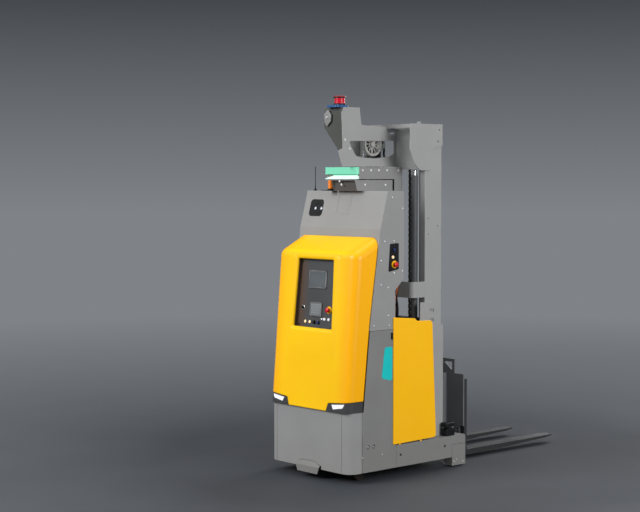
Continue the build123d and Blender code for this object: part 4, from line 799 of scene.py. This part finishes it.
def crown_height(across, up):
    """Height in mm over the flat front, eased out over 24, 260, 40 and 18 mm."""
    level = PANEL_MIDDLE[2] + up / SLANT
    return CROWN * ease((CREASE - abs(across)) / 24) * ease((level - CROWN_FOOT) / 260) \
        * ease((CROWN_BROW - level) / 40) * ease((past_opening(across, up) - 9) / 18) - RIM_DIP


columns, rows = [5 * k - 305 for k in range(123)], [7 * k - 640 for k in range(139)]
grid = {}
points, faces = [], []
for j, up in enumerate(rows):
    for i, across in enumerate(columns):
        grid[i, j] = len(points)
        lift = crown_height(across, up) + PANEL_DEPTH
        points.append(on_panel(across, up, lift).translation)
for j in range(len(rows) - 1):
    for i in range(len(columns) - 1):
        corners = [(i, j), (i + 1, j), (i + 1, j + 1), (i, j + 1)]
        if min(past_opening(columns[a], rows[b]) for a, b in corners) > 7:
            faces.append([grid[c] for c in corners])
used = sorted({k for face in faces for k in face})
order = {old: new for new, old in enumerate(used)}
crown = ([points[k] for k in used], [[order[k] for k in face] for face in faces])
gather("hood_front_crown", crown, [Matrix()], yellow_shell_painted_shade)
print("crown faces:", len(faces))

# %% [markdown]
# Display and keypad get a sheet of glass and rubber, and 16 keys. Lamps get clear domes, and thin
# turned bezels hide the rims of the holes, as they do on a real panel.

# %% Glass, keys and bezels
bezel = turned([(13.2, 0), (16.4, 0), (16.4, 1.4), (15.4, 2.6), (13.8, 2.6), (13.2, 2.0),
                (13.2, 0)], 32)
small_dome = turned([(0, 0), (8, 0), (8, 2), (7.2, 4.2), (5, 6), (2.6, 6.9), (0, 7.2)])
clear_dome = turned([(13.1, 0), (13.1, 3), (12.6, 6.4), (10.4, 9.6), (6.6, 11.8), (3.2, 12.6),
                     (0, 12.8)], 32)
key_ring = turned([(15.5, 0), (19, 0), (19, 2), (17.5, 3), (15.5, 3), (15.5, 0)], 32)
edge_points, edge_faces = turned([(0, 0), (1.6, 0), (1.6, 108), (0, 108)], 8)
standing = Matrix.Rotation(math.radians(-90), 4, "X")
bright_edge = ([standing @ point for point in edge_points], edge_faces)
keys = [(-4 + 27 * (k - 1.5), -130 + 21 * (r - 1.5), 7.7) for k in range(4) for r in range(4)]
bezel_spots = [(-127, -237), (-72, -237), (-19, -237), (32, -237), (107, -206), (159, -206)]
corner_spots = [(-203, 255), (203, 255), (-209, -262), (209, -262)]
panel_pieces = {
    "display_screen": (slab(rounded_rect(187, 124, 4), 1.4), [(0, 117, 7)], screen_dark,
                       "clear", 0.4),
    "keypad_face": (slab(rounded_rect(120, 92, 4), 0.8), [(-4, -130, 7)], key_grey,
                    "dark_plastic", 0.3),
    "keypad_keys": (slab(rounded_rect(21, 15, 3), 1.2), keys, key_grey, "dark_plastic", 0.4),
    "panel_bezels": (bezel, bezel_spots, black_screw, "steel", 0.0),
    "small_panel_lamp": (small_dome, [(71, -206)], white_lamp, "clear", 0.0),
    "white_lamp_domes": (clear_dome, bezel_spots[-2:], white_lamp, "clear", 0.0),
    "display_bright_edge": (bright_edge, [(105.6, 63, 6.4)], frame_pale, "steel", 0.0),
    "panel_screws": (pan_head, corner_spots, black_screw, "steel", 0.0),
    "key_switch_ring": (key_ring, [(-165, -122)], bright_screw, "steel", 0.0),
}
for name, (shape, spots, finish, slot, edge_mm) in panel_pieces.items():
    gather(name, shape, [on_panel(*spot) for spot in spots], finish, edge_mm)
print("panel dressed with", len(keys), "keys")

# %% [markdown]
# The front camera looks through a window in the cabinet's sloped face. Its two lenses are turned
# domes of coated glass, each in a black ring; their pale grey is a painted glint.

# %% Front camera lenses
SLOPE_TOP = (424, 2350)
CAMERA_X, LENS_GAP, LENS_UP = -308, 37, -154
slope_up = Vector((0, 0.268, 0.9634))
slope_out = Vector((0, -0.9634, 0.268))


def on_slope(across, up, above=0.0):
    """Matrix of a point on the cabinet's sloped front; up counts from the slope's top edge."""
    spot = at(across, *SLOPE_TOP) + slope_up * mm(up) + slope_out * mm(above)
    return Matrix.Translation(spot) @ Matrix((ACROSS, slope_up, slope_out)).transposed().to_4x4()


lens = turned([(0, 0), (14.6, 0), (14.6, 1.2), (13, 2.2), (9, 4), (4.6, 5), (0, 5.2)], 32)
lens_ring = turned([(15, 0), (19, 0), (19, 2.6), (17.6, 3.8), (15, 3.8), (15, 0)], 32)
eye_ring = turned([(43, 0), (47, 0), (47, 1.4), (45, 2.2), (43, 1.4), (43, 0)], 48)
spots = [CAMERA_X + LENS_GAP, CAMERA_X - LENS_GAP]
gather("camera_lenses", lens, [on_slope(x, LENS_UP, -3.4) for x in spots], lens_glass_painted_glint)
gather("camera_lens_rings", lens_ring, [on_slope(x, LENS_UP, -3.2) for x in spots], black_screw)
gather("camera_cover_ring", eye_ring, [on_slope(CAMERA_X - 10, LENS_UP, -3.0)], black_screw)
print("camera lenses:", len(spots))

# %% [markdown]
# ## Lift chains
# A leaf chain is rows of pressed plates held by pins, here at 25 mm pitch and 24 mm wide. The
# anchor run is fixed to the outer mast and grows as the inner mast rises. Two chains of nearly one
# length stand in for it: one stays below and one, a little shorter, rises. Their links coincide
# at rest and at full lift, because 2 m is a whole number of pitches. On the truck the load run
# shortens toward the pulley; here it is one chain that rides on the inner mast.

# %% Leaf chain
PITCH = 25.0
LEAF_END, LEAF_WAIST, LEAF_THICK = 4.9, 3.9, 3.7
LEAF_STEP, HALF_WIDE, PIN_LENGTH = 4, 11.9, 23.6
TOP_GAP = 5.1
CHAIN_X, PULLEY_LEVEL = 235.0, 2765.0


def leaf_plate():
    """Waisted plate of one pitch, drawn in Y and Z."""
    outline = []
    for end, sign in ((0, -1), (PITCH, 1)):
        for step in range(7):
            turn = math.radians(-90 + 30 * step)
            outline.append((LEAF_END * math.sin(turn) * -sign, end + LEAF_END * math.cos(turn) * sign))
        outline.append((LEAF_WAIST * -sign, PITCH / 2))
    points, faces = slab(outline, LEAF_THICK)
    return [Vector((p.z, p.x, p.y)) for p in points], faces


def chain_run(name, y, low, body, thinner=0.0):
    """A leaf chain on each side, from the pulleys down to a level; thinner keeps copies apart."""
    points, faces = [], []
    plate, plate_faces = leaf_plate()
    length = PIN_LENGTH - thinner
    pin, pin_faces = turned([(0, 0), (3.4, 0), (3.4, length), (0, length)], 8)
    for x in (CHAIN_X, -CHAIN_X):
        for k in range(int((PULLEY_LEVEL - low - 2 * TOP_GAP) // PITCH) + 1):
            level = PULLEY_LEVEL - TOP_GAP - k * PITCH
            start = len(points)
            centre = at(x - PIN_LENGTH / 2 + thinner / 2, y, level)
            points += [centre + Vector((p.z, p.x, p.y)) for p in pin]
            faces += [[start + i for i in face] for face in pin_faces]
            for column in range(k % 2, 6, 2) if k else ():
                start = len(points)
                corner = at(x - HALF_WIDE + column * LEAF_STEP, y, level)
                points += [corner + p * (1 - thinner / 100) for p in plate]
                faces += [[start + i for i in face] for face in plate_faces]
    return gather(name, (points, faces), [Matrix()], oiled_steel, body=body)


ANCHOR_Y, LOAD_Y = 933.7, 1086.3
LIFT, RISING_GAP = 2000, 85
anchor_low = drawn_box("chain_anchor_runs")[0][2]
load_low = drawn_box("chain_load_runs")[0][2]
fixed_run = chain_run("anchor_chains_fixed", ANCHOR_Y, anchor_low, "chassis")
chain_run("anchor_chains_rising", ANCHOR_Y, anchor_low + RISING_GAP, "inner_mast", 0.8)
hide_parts("chain_anchor_runs")
load_run = chain_run("load_chains", LOAD_Y, load_low, "inner_mast", 0.4)
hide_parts("chain_load_runs")
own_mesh(load_run)

# %% [markdown]
# ## Screws in the side covers
# The covers are held by domed rivets, pan-head screws and hexagon bolts. Their places were read
# off the photograph and set on the sheet they go through. The left side gets the same rows.

# %% Cover screws
CABINET_SIDE, WALL_SIDE, MAST_SIDE = 490, 495, 399.7
cabinet_rows = [(392, 1942), (498, 1942), (351, 1787), (352, 1592), (434, 1567), (595, 1696),
                (498, 1682), (435, 1338), (271, 1262), (443, 1256), (477, 2297), (593, 2206)]
mast_foot_spots = [(1030, 1343), (1030, 1263)]
cover_rows = {"cabinet_screws": (CABINET_SIDE, rivet, cabinet_rows),
              "foot_screws": (WALL_SIDE, pan_head, [(363, 210), (144, 208)]),
              "frame_bolts": (CABINET_SIDE, hex_head, [(205, 288), (266, 286)]),
              "housing_screws": (WALL_SIDE, pan_head, [(1216, 46), (1250, 58), (1326, 34)]),
              "mast_foot_bolts": (MAST_SIDE, hex_head, mast_foot_spots)}
for sign, side in ((1, "right"), (-1, "left")):
    for name, (face, head, spots) in cover_rows.items():
        places = [facing(at(sign * face, y, z), (sign, 0, 0)) for y, z in spots]
        gather(f"{name}_{side}", head, places, bright_screw)
print("cover screws:", 2 * sum(len(row[2]) for row in cover_rows.values()))

# %% [markdown]
# The boxes on the roof and the console arm are riveted with white nylon rivets, which show well
# against the grey paint. The bolts at the mast's foot sit in dark washers.

# %% Roof box rivets and washers
ROOF_BOX_SIDE, LOWER_BOX_SIDE, ARM_SIDE, BRACKET_FACE = 195, 191, 115, 338
box_spots = [(424, 2519), (518, 2520), (608, 2520), (703, 2521), (836, 2521)]
white_rows = {
    "sensor_box_rivets": [facing(at(s * ROOF_BOX_SIDE, y, z), (s, 0, 0))
                          for s in (1, -1) for y, z in box_spots],
    "lower_box_screws": [facing(at(LOWER_BOX_SIDE, y, z), (1, 0, 0))
                         for y, z in ((454, 2400), (689, 2399))],
    "bracket_bolts": [facing(at(x, BRACKET_FACE, z), (0, -1, 0))
                      for x, z in ((6, 2429), (30, 2402))],
    "console_bolts": [facing(at(ARM_SIDE, y, z), (1, 0, 0))
                      for y, z in ((300, 2769), (350, 2696))],
}
for name, places in white_rows.items():
    gather(name, rivet, places, marker_white)
washer = turned([(15, 0), (25, 0), (25, 2), (23, 3.6), (15, 3.6), (15, 0)], 32)
places = [facing(at(s * MAST_SIDE, y, z), (s, 0, 0)) for s in (1, -1) for y, z in mast_foot_spots]
gather("mast_foot_rings", washer, places, black_screw)
print("white rivets:", sum(map(len, white_rows.values())))

# %% [markdown]
# ## Latch, bracket and reel
# The flank cover is held at its front edge by a black latch. An angled bracket with an eye sits on
# the dark face of the tower, and a round reel with 12 spokes shows through the window of the
# console arm. Plates and turned pieces make all of them.

# %% Latch, bracket and reel
LATCH_PLACE = (466, 1171)
TOWER_FACE, EYE_PLACE = 268, (-56, 258, 2954)
REEL_PLACE = (62, 640, 2740)
latch_shape = slab(rounded_rect(16, 56, 5), 9)
places = [facing(at(s * WALL_SIDE, *LATCH_PLACE), (s, 0, 0)) for s in (1, -1)]
gather("cover_latches", latch_shape, places, black_moulding, 1.2)
plate = slab(rounded_outline([(-98, 2985), (-52, 3022), (-14, 2976), (-16, 2926), (-66, 2880),
                              (-92, 2915)], 8), 10)
bracket = ([at(p.x * 1000, TOWER_FACE, p.y * 1000) - Vector((0, p.z, 0)) for p in plate[0]],
           plate[1])
gather("tower_bracket", bracket, [Matrix()], grey_coat, 1.5)
eye = turned([(0, 0), (10, 0), (10, 10), (8, 13), (5, 13.6), (5, 10), (0, 10)], 32)
gather("tower_eye", eye, [facing(at(*EYE_PLACE), (0, -1, 0))], frame_pale)
rim = [(82, 0), (100, 0), (102, 4), (96, 12), (96, 22), (102, 30), (100, 34), (82, 34), (82, 0)]
hub = [(0, 2), (22, 2), (24, 6), (24, 28), (22, 32), (0, 32)]
reel = facing(at(*REEL_PLACE), (1, 0, 0))
gather("reel_rim", turned(rim, 64), [reel], pulley_iron_painted_light)
gather("reel_hub", turned(hub, 32), [reel], pulley_iron_painted_light)
spoke = slab([(-5, 18), (5, 18), (4, 88), (-4, 88)], 8)
spokes = [reel @ Matrix.Translation((0, 0, mm(13))) @ Matrix.Rotation(math.radians(30 * k), 4, "Z")
          for k in range(12)]
gather("reel_spokes", spoke, spokes, pulley_iron_painted_light, 0.8)
print("reel spokes:", len(spokes))

# %% [markdown]
# ## Blank tag on the side wall
# The flank carries a printed film tag below the cabinet. It is made as a plain sheet, with no
# print on it.

# %% Tag
tag = rounded_outline([(352, 834), (472, 802), (476, 1084), (388, 1084)], 20)
points, faces = slab(tag, 0.8)
tag_shape = ([at(WALL_SIDE, p.x * 1000, p.y * 1000) + Vector((p.z, 0, 0)) for p in points], faces)
gather("blank_side_tag", tag_shape, [Matrix()], tag_teal)
print("tag faces:", len(faces))

# %% [markdown]
# ## Beacon, aerial and navigation scanner
# The beacon's lens is ribbed to spread its light, and the aerial stands on a spring. The scanner's
# turning head has a dark cap over a red window. Thin turned sleeves over the CAD solids give these
# pieces their second finish.

# %% Beacon and scanner
ROOF, TOWER_TOP = 2350.0, 3037.0
BEACON, AERIAL, SCANNER = (-150, 384), (-420, 450), (0, 345)
ribs = [(24.3, 0)]
for k in range(14):
    radius = 24.3 + 0.9 * (k % 2)
    ribs += [(radius, 2 + 4.4 * k), (radius, 4.6 + 4.4 * k)]
ribs += [(24.6, 66), (22, 70), (16, 71.6), (8, 72.4), (0, 72.6)]
spring = [(3.1, 0), (6.5, 0), (6.5, 10), (4.6, 14), (5.2, 17), (4.6, 20), (5.2, 23), (4.4, 26),
          (3.2, 34)]
cap = [(0, 59.9), (44, 59.9), (50, 58.3), (52.3, 55), (52.3, 46), (43.4, 45.8), (43.4, 45)]
collar = [(51.4, 12), (51.4, 33), (48, 34.2), (44, 34.2)]
sleeves = {
    "beacon_lens": (ribs, 40, (*BEACON, ROOF + 17.4), beacon_orange, "yellow_trim", "chassis"),
    "aerial_spring": (spring, 24, (*AERIAL, ROOF + 9.5), black_screw, "steel", "chassis"),
    "scanner_cap": (cap, 48, (*SCANNER, TOWER_TOP + 34.3), black_moulding, "dark_plastic",
                    "scanner_head"),
    "scanner_collar": (collar, 48, (*SCANNER, TOWER_TOP), black_moulding, "dark_plastic",
                       "chassis"),
}
for name, (profile, segments, spot, finish, slot, body) in sleeves.items():
    gather(name, turned(profile, segments), [Matrix.Translation(at(*spot))], finish,
           body=body)
print("turned sleeves:", len(sleeves))

# %% [markdown]
# ## Loose wires behind the cover
# Beside the sleeved harness, thinner wires run down through the cut-out of the cabinet. Each end
# goes behind sheet metal.

# %% Wires
wires = {
    "orange_wire": (cable_orange, 4.5, [(452, 590, 1618), (458, 562, 1540), (452, 540, 1430),
                                        (448, 536, 1330), (446, 540, 1236)]),
    "brown_wire": (cable_brown, 5.5, [(440, 600, 1610), (446, 582, 1520), (444, 566, 1420),
                                      (438, 560, 1320), (436, 564, 1236)]),
    "black_wire": (rubber_black, 6.0, [(420, 604, 1600), (428, 596, 1500), (424, 586, 1400),
                                       (420, 586, 1236)]),
}
for name, (finish, radius, path) in wires.items():
    gather(name, tube(path, radius), [Matrix()], finish)
print("wires:", len(wires))
